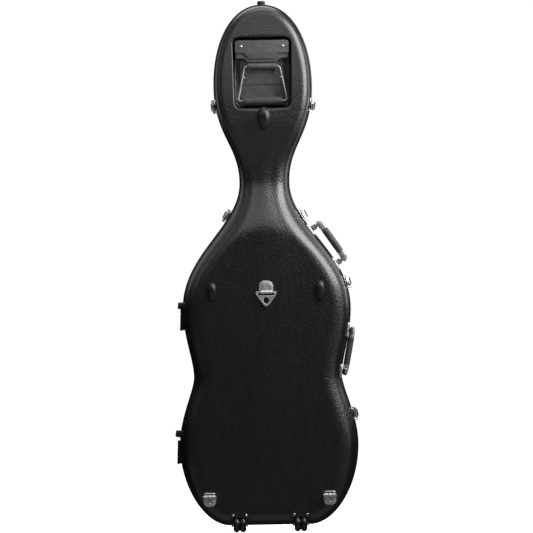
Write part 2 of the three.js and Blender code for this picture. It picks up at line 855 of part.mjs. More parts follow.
function makeBracket(name, x) {
  // A plate that wraps the corner of the shell, with a cheek on each side of the wheel
  const low = stand_height - bracket_wall * 2;
  const outline_2d = roundedLoop(rectangle(bracket_width, bracket_top - low), bracket_corner)
    .map((p) => new THREE.Vector2(p.x + x, p.y + (bracket_top + low) / 2));
  const column = plate(outline_2d, overrun + bracket_reach)
    .translate([0, back_y - overrun, 0]);
  const pad = form(BACK, -seat_gap - bracket_wall, -overrun, shell_steps).intersect(column);
  const cheeks = [-1, 1].map((way) => {
    const middle = x + way * (cheek_outer - cheek_wall / 2);
    return slab(
      [middle - cheek_wall / 2, middle + cheek_wall / 2],
      [back_y - seat_gap - bracket_wall, axle_y + cheek_radius],
      [wheel_radius, bracket_top - bracket_screw_drop * 2])
      .add(rod("x", cheek_radius, cheek_wall, middle, axle_y, wheel_radius, barrel_sides));
  });
  const face_y = back_y - seat_gap - bracket_wall;
  const screws = [-1, 1].map((way) => screwHead(
    x + (way * bracket_screw_spacing) / 2, face_y, bracket_top - bracket_screw_drop));
  const wheel_space = rod("x", wheel_radius + wheel_clearance / 2,
    (cheek_outer - cheek_wall) * 2, x, axle_y, wheel_radius, turned_sides);
  const axle_hole = rod("x", axle_radius + seat_gap, cheek_outer * 3, x, axle_y, wheel_radius);
  const bracket = [...cheeks, ...screws]
    .reduce((all, one) => all.add(one), pad.subtract(seat_form[BACK]))
    .subtract(wheel_space).subtract(axle_hole);
  add(`wheel_bracket_${name}`, bracket, materials.black_steel);
}

function makeWheels() {
  for (const [name, side] of [["left", LEFT], ["right", RIGHT]]) {
    const x = (side * wheel_spacing) / 2;
    makeBracket(name, x);
    const axle = rod("x", axle_radius, cheek_outer * 2 - seat_gap * 2, x, axle_y, wheel_radius);
    add(`wheel_axle_${name}`, axle, materials.chrome);

    const bore = axle_radius + seat_gap;
    const flank = [
      [bore, wheel_width / 2], [wheel_flank_radius, wheel_width / 2],
      [wheel_radius - wheel_tread_fall, wheel_tread_width / 2],
      [wheel_radius, wheel_tread_spacing / 2],
    ];
    const mirrored = flank.slice().reverse().map(([r, h]) => [r, -h]);
    const groove = [wheel_radius - wheel_groove_depth, 0];
    const wheel = lathe([...flank, groove, ...mirrored, flank[0]]);
    const turned = wheel.rotate([0, 90, 0]).translate([x, axle_y, wheel_radius]);
    add(`wheel_${name}`, turned, materials.tyre);
  }
}

// Strap fittings

function strapPlate() {
  // Plate above its knuckle: the knuckle's axis is local X, the shell is on the +Y side
  const half = strap_plate_width / 2;
  const top = strap_plate_height;
  const corners = [[-half, 0], [half, 0], [half, top], [-half, top]]
    .map(([x, z]) => new THREE.Vector2(x, z));
  const near = strap_knuckle_radius - strap_plate_thickness;
  const points = roundedLoop(corners, [0, 0, half * 0.9, half * 0.9], 5);
  const sheet = plate(points, strap_plate_thickness + overrun).translate([0, near, 0]);
  const knuckle = rod("x", strap_knuckle_radius, strap_knuckle_length, 0, 0, 0, barrel_sides);
  const bore = rod("x", strap_knuckle_bore, strap_plate_width * 1.5, 0, 0, 0);
  const screws = strap_screw_places.map(([x, z]) => screwHead(x, near, z));
  return screws.reduce((all, one) => all.add(one), sheet.add(knuckle)).subtract(bore);
}

function strapRing() {
  // A shield-shaped ring that hangs from its bar, the bar on the local X axis
  const half = ring_width / 2;
  const top = ring_bar / 2;
  const corners = [[-half, top], [half, top], [half, -ring_shoulder], [0, -ring_drop],
    [-half, -ring_shoulder]].map(([x, z]) => new THREE.Vector2(x, z));
  const points = roundedLoop(corners, [ring_top_corner, ring_top_corner, ring_side_corner,
    ring_point_corner, ring_side_corner]);
  const slot = rectangle(ring_slot_width, ring_slot_height)
    .map((p) => new THREE.Vector2(p.x, p.y - (ring_bar + ring_slot_height) / 2));
  const hole = Array.from({ length: ring_hole_sides }, (_, i) => {
    const turn = (i / ring_hole_sides) * Math.PI * 2;
    return new THREE.Vector2(
      (Math.cos(turn) * ring_hole_width) / 2,
      (Math.sin(turn) * ring_hole_width) / 2 - ring_hole_drop);
  });
  return plate(points, ring_thickness, [slot, hole]).translate([0, -ring_thickness / 2, 0]);
}

function strapLoop() {
  // A bent wire loop that tapers to its outer end, its bar on the local X axis
  const [near, far] = [loop_width / 2, loop_end_width / 2];
  const corners = [[-near, 0], [near, 0], [far, -loop_reach], [-far, -loop_reach]]
    .map(([x, z]) => new THREE.Vector2(x, z));
  return bentRod(roundedLoop(corners, loop_corner), 0, loop_wire / 2, "looped");
}

function makeStrapFittings() {
  const low = lower_z - strap_lower_drop;
  const places = [
    ["centre", 0, upper_z + strap_centre_rise],
    ["left", -strap_lower_spacing / 2, low],
    ["right", strap_lower_spacing / 2, low],
  ];
  for (const [name, x, z] of places) {
    const centre = name === "centre";
    const crown = centre ? back_crown : back_crown * (1 - (2 * Math.abs(x)) / lower_bout_width);
    const axis_y = faceY(BACK, x, z) - crown - seat_gap - strap_knuckle_radius;
    const frame = new THREE.Matrix4().makeTranslation(x, axis_y, z);
    const body = centre ? strapPlate() : strapPlate().mirror([0, 0, 1]);
    const ring = centre ? strapRing() : strapLoop().rotate([-90 - loop_lift_angle, 0, 0]);
    const group = groupAt(frame);
    add(`strap_plate_${name}`, seated(body, frame, BACK), materials.chrome, group);
    add(`strap_ring_${name}`, ring, materials.chrome, group);
  }
}

// Hinges

const hinge_offset = valance_wall + seat_gap * 2 + hinge_knuckle_radius;

function hingeFrames() {
  const at = (width, z) => new THREE.Vector3(-width / 2 - hinge_offset, rim_y, z);
  const low = at(lower_bout_width, lower_z);
  const high = at(upper_bout_width, upper_z);
  const run = high.clone().sub(low).normalize();
  const out = new THREE.Vector3(-run.z, 0, run.x);
  const upper = high.clone().addScaledVector(run, -hinge_upper_drop);
  const lower = low.clone().addScaledVector(run, -hinge_lower_drop);
  return [["upper", frameAt(upper, out)], ["lower", frameAt(lower, out)]];
}

function makeHinges() {
  const knuckle = (radius, length, x, sides = barrel_sides) => rod("x", radius, length, x, 0, 0, sides);
  const end_length = (hinge_length - hinge_middle_length) / 2 - running_gap;
  const end_x = (hinge_length - end_length) / 2;
  const leaf_low = -hinge_knuckle_radius;
  const leaf = (way) => slab(
    [-hinge_length / 2, hinge_length / 2],
    way < 0 ? [-hinge_leaf_width, -running_gap] : [running_gap, hinge_leaf_width],
    [leaf_low, leaf_low + hinge_leaf_wall]);
  const clear_radius = hinge_knuckle_radius + running_gap;
  const ends = [-1, 1].map((way) => knuckle(hinge_knuckle_radius, end_length, way * end_x));
  const end_space = [-1, 1].map((way) => knuckle(
    clear_radius, end_length + running_gap * 2, way * end_x));
  for (const [name, frame] of hingeFrames()) {
    const group = groupAt(frame);
    const middle_space = knuckle(clear_radius, hinge_middle_length + running_gap, 0);
    const pin = knuckle(hinge_pin_radius, hinge_length, 0, rod_sides);
    const back_leaf = ends.reduce((all, one) => all.add(one),
      leaf(-1).subtract(middle_space)).add(pin);
    add(`hinge_${name}_back_leaf`, back_leaf, materials.black_steel, group);
    const middle = knuckle(hinge_knuckle_radius, hinge_middle_length - running_gap, 0);
    const bore = knuckle(hinge_pin_radius + running_gap, hinge_length, 0, rod_sides);
    const lid_leaf = end_space.reduce((all, one) => all.subtract(one), leaf(1))
      .add(middle).subtract(bore);
    add(`hinge_${name}_lid_leaf`, lid_leaf, materials.black_steel, group);
  }
}

// Latches

function makeLatch(name, z, side) {
  const frame = rimFrame(z, side);
  const group = groupAt(frame);
  const half = latch_width / 2;
  const pivot_y = -latch_reach + latch_base_length / 2;
  const lever_half = half - latch_ear_wall - running_gap;
  const pin = rod("x", latch_pin_radius, latch_width, 0, pivot_y, latch_pivot_height);
  const ears = [-1, 1].map((way) => slab(
    [way * half - (way > 0 ? latch_ear_wall : 0), way * half + (way < 0 ? latch_ear_wall : 0)],
    [pivot_y - latch_knuckle_radius, pivot_y + latch_knuckle_radius],
    [-overrun, latch_pivot_height + latch_knuckle_radius]));
  const foot = slab([-half, half], [-latch_reach, -latch_reach + latch_base_length],
    [-overrun, latch_base_wall]);
  const base = ears.reduce((all, one) => all.add(one), foot).add(pin);
  add(`latch_${name}_base`, seated(base, frame, BACK), materials.chrome, group);

  const lip_y = valance_outer_leg + seat_gap + keeper_lip_inset;
  const tooth_y = lip_y + keeper_lip_wall + running_gap;
  const arm_low = latch_pivot_height + latch_knuckle_radius - latch_lever_wall;
  const arm_high = latch_pivot_height + latch_knuckle_radius;
  const end_y = tooth_y + latch_tooth_width;
  const knuckle = rod("x", latch_knuckle_radius, lever_half * 2, 0, pivot_y,
    latch_pivot_height, barrel_sides);
  const bore = rod("x", latch_pin_radius + running_gap, latch_width, 0, pivot_y,
    latch_pivot_height);
  const arm = slab([-lever_half, lever_half], [pivot_y, end_y], [arm_low, arm_high]);
  const tooth = slab([-lever_half * 0.8, lever_half * 0.8], [tooth_y, end_y],
    [arm_low - latch_tooth_depth, arm_high]);
  const tab = solid(new THREE.BoxGeometry(
    lever_half * 1.5, latch_tab_length + latch_lever_wall, latch_lever_wall)
    .rotateX(Math.atan2(latch_tab_lift, latch_tab_length))
    .translate(0, end_y + latch_tab_length / 2 - latch_lever_wall / 2,
      arm_low + latch_lever_wall / 2 + latch_tab_lift / 3));
  const lever = arm.add(tooth).add(tab).add(knuckle).subtract(bore);
  add(`latch_${name}_lever`, lever, materials.chrome, group);

  const keeper_half = keeper_width / 2;
  const keeper = slab([-keeper_half, keeper_half],
    [valance_outer_leg + seat_gap, valance_outer_leg + seat_gap + keeper_length],
    [-overrun, keeper_wall])
    .add(slab([-keeper_half, keeper_half], [lip_y, lip_y + keeper_lip_wall],
      [-overrun, keeper_lip_height]));
  add(`latch_${name}_keeper`, seated(keeper, frame, LID), materials.chrome, group);
}

function makeLatches() {
  const places = [
    ["head_left", head_z - head_latch_drop, LEFT],
    ["head_right", head_z - head_latch_drop, RIGHT],
    ["neck_left", shoulder_handle_z + neck_latch_rise, LEFT],
    ["neck_right", shoulder_handle_z + neck_latch_rise, RIGHT],
    ["upper_right", shoulder_handle_z - upper_latch_drop, RIGHT],
    ["lower_right", lower_z + lower_latch_rise, RIGHT],
  ];
  for (const [name, z, side] of places) makeLatch(name, z, side);
}

// Carrying handles

function wallStrip(low, high, side, lift, near, far) {
  // A strip on the side wall, between two heights and two depths, with its face lifted off it
  const between = right_half.filter((p) => p.z > low && p.z < high)
    .map((p) => ({ ...p, x: side * p.x, nx: side * p.nx }));
  const route = [outlineAt(low, side), ...between, outlineAt(high, side)];
  const rings = route.map((p) => [[near, -overrun], [near, lift], [far, lift], [far, -overrun]]
    .map(([depth, height]) => {
      const out = height - wall_draft_share * depth;
      return new THREE.Vector3(p.x + p.nx * out, rim_y - depth, p.z + p.nz * out);
    }));
  return stitched(rings);
}

function handleRoute() {
  // From one eye up, over the grip and down to the other eye
  const half = handle_span / 2;
  const bend = handle_bend;
  const corner = (way) => new THREE.QuadraticBezierCurve(
    new THREE.Vector2(way * half, handle_reach - bend),
    new THREE.Vector2(way * half, handle_reach),
    new THREE.Vector2(way * (half - bend), handle_reach),
  ).getPoints(4);
  const foot = (way) => new THREE.Vector2(way * half, handle_pivot_height);
  return [foot(-1), ...corner(-1), ...corner(1).reverse(), foot(1)];
}

function makeHandle(name, z, side, swing) {
  const frame = rimFrame(z, side);
  const group = groupAt(frame);
  const near = valance_outer_leg + running_gap;
  const mid_y = -near - handle_strip_width / 2;
  const half = handle_span / 2;
  const rise = (half + handle_strip_overhang) * Math.abs(frame.elements[2]);
  const lift = seat_gap + handle_strip_wall;
  const strip = wallStrip(z - rise, z + rise, side, lift, near, near + handle_strip_width)
    .transform(frame.clone().invert().elements);
  const posts = [-1, 1].map((way) => {
    const ears = slab(
      [way * half - handle_post_length / 2, way * half + handle_post_length / 2],
      [mid_y - handle_post_width / 2, mid_y + handle_post_width / 2],
      [-overrun * 2, handle_pivot_height + handle_pin_radius * 1.6]);
    const eye_width = handle_post_length / 2 - handle_post_wall;
    const space = slab(
      [way * half - eye_width, way * half + eye_width],
      [mid_y - handle_post_width, mid_y + handle_post_width],
      [handle_pivot_height - handle_eye_radius - running_gap * 2, handle_reach * 2]);
    const pin = rod("x", handle_pin_radius, handle_post_length, way * half, mid_y,
      handle_pivot_height);
    return ears.subtract(space).add(pin);
  });
  const relief = [-1, 1].map((way) => rod("x", handle_eye_radius + running_gap,
    handle_post_length - handle_post_wall * 2, way * half, mid_y, handle_pivot_height));
  const base = relief.reduce((all, one) => all.subtract(one), strip);
  const mount = posts.reduce((all, one) => all.add(one), base);
  add(`${name}_handle_mount`, seated(mount, frame, BACK), materials.black_steel, group);

  const eye_half = handle_post_length / 2 - handle_post_wall - running_gap;
  const eyes = [-1, 1].map((way) => rod("x", handle_eye_radius, eye_half * 2, way * half, 0,
    handle_pivot_height, barrel_sides));
  const bores = [-1, 1].map((way) => rod("x", handle_pin_radius + running_gap,
    handle_post_length, way * half, 0, handle_pivot_height));
  const tube = bentRod(handleRoute(), 0, handle_tube_radius, "flat");
  const swing_group = new THREE.Group();
  swing_group.position.set(0, mid_y, handle_pivot_height);
  swing_group.rotation.x = THREE.MathUtils.degToRad(swing);
  group.add(swing_group);
  const bow = bores.reduce((all, one) => all.subtract(one),
    eyes.reduce((all, one) => all.add(one), tube)).translate([0, 0, -handle_pivot_height]);
  add(`${name}_handle_bow`, bow, materials.chrome, swing_group);

  const grip_half = handle_grip_length / 2;
  const bore = handle_tube_radius + seat_gap;
  const grip = lathe([
    [bore, -grip_half], [handle_grip_end_radius, -grip_half],
    [handle_grip_radius, -grip_half / 2], [handle_grip_radius, grip_half / 2],
    [handle_grip_end_radius, grip_half], [bore, grip_half], [bore, -grip_half],
  ], barrel_sides).rotate([0, 90, 0]).translate([0, 0, handle_reach - handle_pivot_height]);
  add(`${name}_handle_grip`, grip, materials.grip, swing_group);
}

function makeHandles() {
  makeHandle("shoulder", shoulder_handle_z, RIGHT, 0);
  makeHandle("waist", waist_z + waist_handle_rise, RIGHT, -waist_handle_angle);
}

// Lining, pads and holders inside

const lining_skin = shell_wall + seat_gap;
const room_skin = lining_skin + lining_thickness + seat_gap;

function makeLinings() {
  for (const [name, side] of [["back_lining", BACK], ["lid_lining", LID]]) {
    const { outside, inside } = hollow(side, lining_skin, lining_skin + lining_thickness,
      lining_edge_drop, pad_steps, room_steps);
    add(name, outside.subtract(inside), materials.plush);
  }
}

function makeCradle() {
  const top_y = rim_y - cradle_top_inset;
  const z = neck_z - cradle_drop;
  const room = form(BACK, room_skin, cradle_top_inset, room_steps);
  const body = slab([-upper_bout_width, upper_bout_width], [rim_y - back_reach, top_y],
    [z - cradle_height / 2, z + cradle_height / 2]).intersect(room);
  const radius = cradle_groove_width / 2;
  const groove_y = top_y - cradle_groove_depth + radius;
  const groove = rod("z", radius, cradle_height * 2, 0, groove_y, z, barrel_sides)
    .add(slab([-radius, radius], [groove_y, top_y + overrun],
      [z - cradle_height, z + cradle_height]));
  add("neck_cradle", body.subtract(groove), materials.plush);
  const band = slab([-strap_band_length / 2, strap_band_length / 2],
    [top_y + seat_gap, top_y + seat_gap + strap_band_wall],
    [z - strap_band_width / 2, z + strap_band_width / 2]);
  add("neck_strap", band, materials.webbing);
}

function lidBand(near, thickness) {
  // The layer of space over the lid's lining, from near to near + thickness above it
  return form(LID, room_skin + near, lining_edge_drop, room_steps)
    .subtract(form(LID, room_skin + near + thickness, lining_edge_drop - overrun,
      room_steps));
}

function makeBowHolders() {
  const room = form(LID, room_skin, lining_edge_drop, room_steps);
  for (const [name, side] of [["left", LEFT], ["right", RIGHT]]) {
    const x = (side * bow_spacing) / 2;
    const z = lower_z - bow_button_drop;
    const column = rod("y", bow_button_post_radius, lid_body_depth,
      x, rim_y + lid_body_depth, z);
    const floor_y = column.subtract(room).boundingBox().min[1];
    const head_y = floor_y - bow_button_stand;
    const post = rod("y", bow_button_post_radius, bow_button_stand,
      x, (floor_y + head_y) / 2, z);
    const cap_shape = roundedLoop(rectangle(bow_button_length, bow_button_width),
      bow_button_width / 2);
    const cap = plate(cap_shape, bow_button_wall).translate([x, head_y - bow_button_wall / 2, z]);
    add(`bow_button_${name}`, post.add(cap), materials.abs);
  }
  const z = upper_z + tip_pocket_rise;
  const body = lidBand(0, tip_pocket_thickness).intersect(slab(
    [-tip_pocket_width / 2, tip_pocket_width / 2], [rim_y, rim_y + lid_body_depth * 2],
    [z - tip_pocket_height / 2, z + tip_pocket_height / 2]));
  const inner = lidBand(tip_pocket_wall, tip_pocket_thickness - tip_pocket_wall * 2);
  const slots = [-1, 1].map((way) => inner.intersect(slab(
    [(way * tip_slot_spacing - tip_slot_width) / 2, (way * tip_slot_spacing + tip_slot_width) / 2],
    [rim_y, rim_y + lid_body_depth * 2],
    [z - tip_pocket_height, z - tip_pocket_height / 2 + tip_slot_depth])));
  add("bow_tip_pocket", slots.reduce((all, one) => all.subtract(one), body), materials.plush);
}

function makePouch() {
  const z = head_z + pouch_rise;
  const shape = roundedLoop(rectangle(pouch_width, pouch_height), pouch_corner)
    .map((p) => new THREE.Vector2(p.x, p.y + z));
  const column = plate(shape, lid_body_depth * 2).translate([0, rim_y, 0]);
  add("accessory_pouch", lidBand(0, pouch_thickness).intersect(column), materials.webbing);
}

makeShells();
makeValances();
makePullHandle();
makeFeet();
makeWheels();
makeStrapFittings();
makeHinges();
makeLatches();
makeHandles();
makeLinings();
makeCradle();
makeBowHolders();
makePouch();

export default part;
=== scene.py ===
"""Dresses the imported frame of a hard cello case: shells, rims, hardware, padding and stage.

Lengths in the making functions are in millimetres and turn into metres when a mesh is written.
Z is up, X runs to the right of someone who faces the back, Y runs from the back to the lid.
"""

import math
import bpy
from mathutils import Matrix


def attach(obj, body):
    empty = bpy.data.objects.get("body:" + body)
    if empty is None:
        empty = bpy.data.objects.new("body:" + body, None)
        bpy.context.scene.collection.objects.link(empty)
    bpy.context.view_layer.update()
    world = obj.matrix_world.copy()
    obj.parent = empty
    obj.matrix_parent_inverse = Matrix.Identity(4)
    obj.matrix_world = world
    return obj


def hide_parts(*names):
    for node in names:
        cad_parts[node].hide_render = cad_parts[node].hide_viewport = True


bl_info = {
    "name": "Cello hard case",
    "version": (1, 0, 0),
    "blender": (4, 5, 0),
    "location": "3D View > Sidebar > Cello case",
    "description": "Builds a moulded cello case with its fittings and padded inside",
    "category": "Add Mesh",
}

import bmesh
import bpy
import numpy as np
from bpy.props import FloatProperty, FloatVectorProperty, PointerProperty
from mathutils import Matrix, Vector
from mathutils.bvhtree import BVHTree

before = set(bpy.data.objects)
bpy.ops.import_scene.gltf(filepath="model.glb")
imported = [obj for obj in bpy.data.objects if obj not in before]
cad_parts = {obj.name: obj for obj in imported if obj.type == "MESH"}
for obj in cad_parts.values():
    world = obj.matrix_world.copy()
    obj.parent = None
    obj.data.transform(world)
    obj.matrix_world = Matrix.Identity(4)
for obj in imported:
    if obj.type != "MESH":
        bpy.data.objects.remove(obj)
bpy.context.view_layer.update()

BACK, LID = -1, 1
LEFT, RIGHT = -1, 1

# Outline stations, from the bottom corner to the top, as half width and height
STATIONS = ((105.5, 18), (234, 228), (193.5, 410), (220, 589), (63.5, 923), (128, 1178), (0, 1391))
SHARES = ((0.51, 0.52), (0.42, 0.2), (0.25, 0.39), (0.44, 0.35), (0.39, 0.51), (0.55, 0.62))
FRAME_STEPS = (6, 4, 4, 6, 5, 6)
FINE_STEPS = (44, 32, 32, 44, 38, 50)

# Depth of each half from the closing plane
RIM_Y = 24.9
CREST_Z = 785.0
HEAD_START_Z = 1093.0
DEPTHS = {
    BACK: ((CREST_Z, 160), (CREST_Z + 150, 120), (HEAD_START_Z - 140, 120),
           (HEAD_START_Z, 140), (1391, 128)),
    LID: ((CREST_Z, 128), (CREST_Z + 150, 78), (HEAD_START_Z - 140, 78),
          (HEAD_START_Z, 88), (1391, 80)),
}
CROWNS = {BACK: ((CREST_Z, 3), (CREST_Z + 150, 3)), LID: ((589, 18), (CREST_Z + 150, 5))}
EDGES = ((44, 26), (154, 46), (CREST_Z, 46), (HEAD_START_Z - 140, 34), (HEAD_START_Z, 22))
CREST_SWEEP = 300.0
WALL_DRAFT = 0.04
SHELL_WALL = 3.0
SHELL_START = 2.35
RIM_WALL = 1.8
SEAT = 0.3
LINING_SKIN = SHELL_WALL + SEAT
LINING_THICK = 7
BACK_Y = RIM_Y - 160
SPINE_LOW, SPINE_HIGH = 154, 1200
BEYOND = 900

# Recess for the pull handle
RECESS_WIDTH, RECESS_HEIGHT, RECESS_DEPTH = 152.0, 188.0, 38.0
RECESS_Z = 1211.0
PIVOT_Y, PIVOT_Z = -96.95, 1229.0
BAIL_DROP = 92

# Rows of fittings down the sides
LATCHES = (("head_left", 1125, LEFT), ("head_right", 1125, RIGHT), ("neck_left", 832, LEFT),
           ("neck_right", 832, RIGHT), ("upper_right", 655, RIGHT), ("lower_right", 306, RIGHT))
HANDLES = (("shoulder", 750, 0.0), ("waist", 474, -88.0))
FEET = (("upper", 599), ("lower", 261))
STRAP_PLATES = (("centre", 0.0, 632.0), ("left", -158.5, 95.0), ("right", 158.5, 95.0))
# Name, x, z, width, length and height of each resting bump
BUMPS = (("left", -143, 634, 25, 52, 14), ("right", 143, 634, 25, 52, 14),
         ("head", 2, 1090, 33, 60, 15))
WHEEL_X, AXLE_Y, AXLE_Z = 80.5, BACK_Y + 4, 20.0
LATCH_PIN = (0, -39.5, 8.6)
KNUCKLE, HINGE_PIN, HINGE_HALF = 3.2, 1.8, 31
RIVET_WIDTH = 4.6
STRAP_Z, STRAP_Y = 861.0, 10.4
BOW_TIP_X, BOW_TIP_Z = 29, 761.0


# Outline and depth

def bezier(a, b, c, d, steps):
    t = np.linspace(0, 1, steps + 1)[:, None]
    return ((1 - t) ** 3 * a + 3 * (1 - t) ** 2 * t * b + 3 * (1 - t) * t * t * c + t ** 3 * d)


def half_outline(steps, flat_steps):
    """Right half of the outline, from the bottom middle to the top middle."""
    flat = np.linspace(0, STATIONS[0][0], flat_steps + 1)
    points = [np.stack([flat, np.full(flat.shape, STATIONS[0][1])], 1)]
    for i, (first, second) in enumerate(SHARES):
        start, end = np.array(STATIONS[i], float), np.array(STATIONS[i + 1], float)
        width, rise = end - start
        leave = start + ((width * first, 0) if i == 0 else (0, rise * first))
        arrive = end - ((width * second, 0) if i == len(SHARES) - 1 else (0, rise * second))
        points.append(bezier(start, leave, arrive, end, steps[i])[1:])
    return np.concatenate(points)


def full_outline(steps=FINE_STEPS, flat_steps=24):
    """The whole loop as x, z and outward normal."""
    right = half_outline(steps, flat_steps)
    left = right[1:-1][::-1] * (-1, 1)
    loop = np.concatenate([right, left])
    run = np.roll(loop, -1, 0) - np.roll(loop, 1, 0)
    run /= np.linalg.norm(run, axis=1)[:, None]
    return np.column_stack([loop, run[:, 1], -run[:, 0]])


OUTLINE = full_outline()
FRAME_OUTLINE = full_outline(FRAME_STEPS, 1)


def outline_at(z, side, loop=FRAME_OUTLINE):
    """x and outward normal of the outline at a height."""
    right = loop[: len(loop) // 2 + 1]
    i = min(int(np.searchsorted(right[:, 1], z, side="right")), len(right) - 1)
    low, high = right[i - 1], right[i]
    p = low + (high - low) * (z - low[1]) / (high[1] - low[1])
    n = p[2:] / np.linalg.norm(p[2:])
    return side * p[0], side * n[0], n[1]


def along(z, stations):
    """A value that passes smoothly through pairs of height and value."""
    value = np.full(np.shape(z), float(stations[0][1]))
    for (low, start), (high, end) in zip(stations, stations[1:]):
        share = np.clip((z - low) / (high - low), 0, 1)
        value = value + (end - start) * share * share * (3 - 2 * share)
    return value


def depth_at(side, x, z):
    return along(z + x * x / CREST_SWEEP, DEPTHS[side])


def face_y(side, x, z):
    return RIM_Y + side * depth_at(side, x, z)


SURFACES = {}


def surface_y(side, x, z, skin=0.0):
    """Y of the moulded face itself, its crown included, for a number or a row of numbers."""
    if (side, skin) not in SURFACES:
        rings = form_rings(side, skin, SHELL_START, 14, 26)
        n = len(rings[0])
        faces = [(j * n + i, j * n + (i + 1) % n, (j + 1) * n + (i + 1) % n, (j + 1) * n + i)
                 for j in range(len(rings) - 1) for i in range(n)]
        SURFACES[side, skin] = BVHTree.FromPolygons(np.concatenate(rings).tolist(), faces)
    tree = SURFACES[side, skin]
    found = []
    for a, b in zip(np.ravel(x + 0 * z), np.ravel(z + 0 * x)):
        spot = tree.ray_cast(Vector((a, side * BEYOND, b)), Vector((0, -side, 0)))[0]
        if spot is None:
            raise ValueError(f"nothing of the case at {a:.1f}, {b:.1f}")
        found.append(spot.y)
    return np.reshape(found, np.shape(x + 0 * z))[()]


def rim_frame(z, side):
    """Local X runs along the outline, Y towards the lid, Z outwards."""
    x, nx, nz = outline_at(z, side)
    out = Vector((nx, 0, nz))
    lid_way = Vector((0, 1, 0))
    run = lid_way.cross(out)
    turn = Matrix((run, lid_way, out)).transposed().to_4x4()
    return Matrix.Translation((x, RIM_Y, z)) @ turn


def wall_height(matrix, places):
    """How far the wall stands over a rim frame's own plane, at places along the frame."""
    turn = np.array(matrix.to_3x3())
    local = (np.column_stack([OUTLINE[:, 0], 0 * OUTLINE[:, 0] + RIM_Y, OUTLINE[:, 1]])
             - np.array(matrix.translation)) @ turn
    local = local[np.abs(local[:, 2]) < 60]
    local = local[np.argsort(local[:, 0])]
    return np.interp(places, local[:, 0], local[:, 2])


def form_rings(side, skin, start, arc_steps, face_steps):
    """Rings of one half of the case, its surface moved inwards by skin."""
    x, z, nx, nz = OUTLINE.T
    spine_z = np.clip(z, SPINE_LOW, SPINE_HIGH)

    def ring(way_in, depth):
        return np.column_stack([x - nx * way_in, RIM_Y + side * depth, z - nz * way_in])

    rings = [np.column_stack([0 * x, 0 * x + RIM_Y + side * start, spine_z]),
             ring(skin + WALL_DRAFT * start, start + 0 * x)]
    radius = along(z, EDGES)
    wall_end = depth_at(side, x, z) - radius
    for share in (0.35, 0.7):
        rings.append(ring(skin + WALL_DRAFT * (start + (wall_end - start) * share),
                          start + (wall_end - start) * share))
    for angle in np.linspace(0, math.pi / 2, arc_steps + 1):
        way_in = WALL_DRAFT * wall_end + radius * (1 - math.cos(angle))
        depth = depth_at(side, x - nx * way_in, z - nz * way_in) - radius * (1 - math.sin(angle))
        rings.append(ring(way_in + skin * math.cos(angle), depth - skin * math.sin(angle)))
    edge = rings[-1]
    for reach in np.linspace(0, 1, face_steps + 1)[1:]:
        fx = edge[:, 0] * (1 - reach)
        fz = edge[:, 2] + (spine_z - edge[:, 2]) * reach
        crown = along(fz, CROWNS[side]) * (reach * reach * (3 - 2 * reach))
        rings.append(np.column_stack([fx, RIM_Y + side * (depth_at(side, fx, fz) - skin + crown),
                                      fz]))
    return rings


# Mesh making

def full_turn(steps):
    """Angles once round, the last one a step short of the first."""
    return np.linspace(0, 2 * math.pi, steps, endpoint=False)


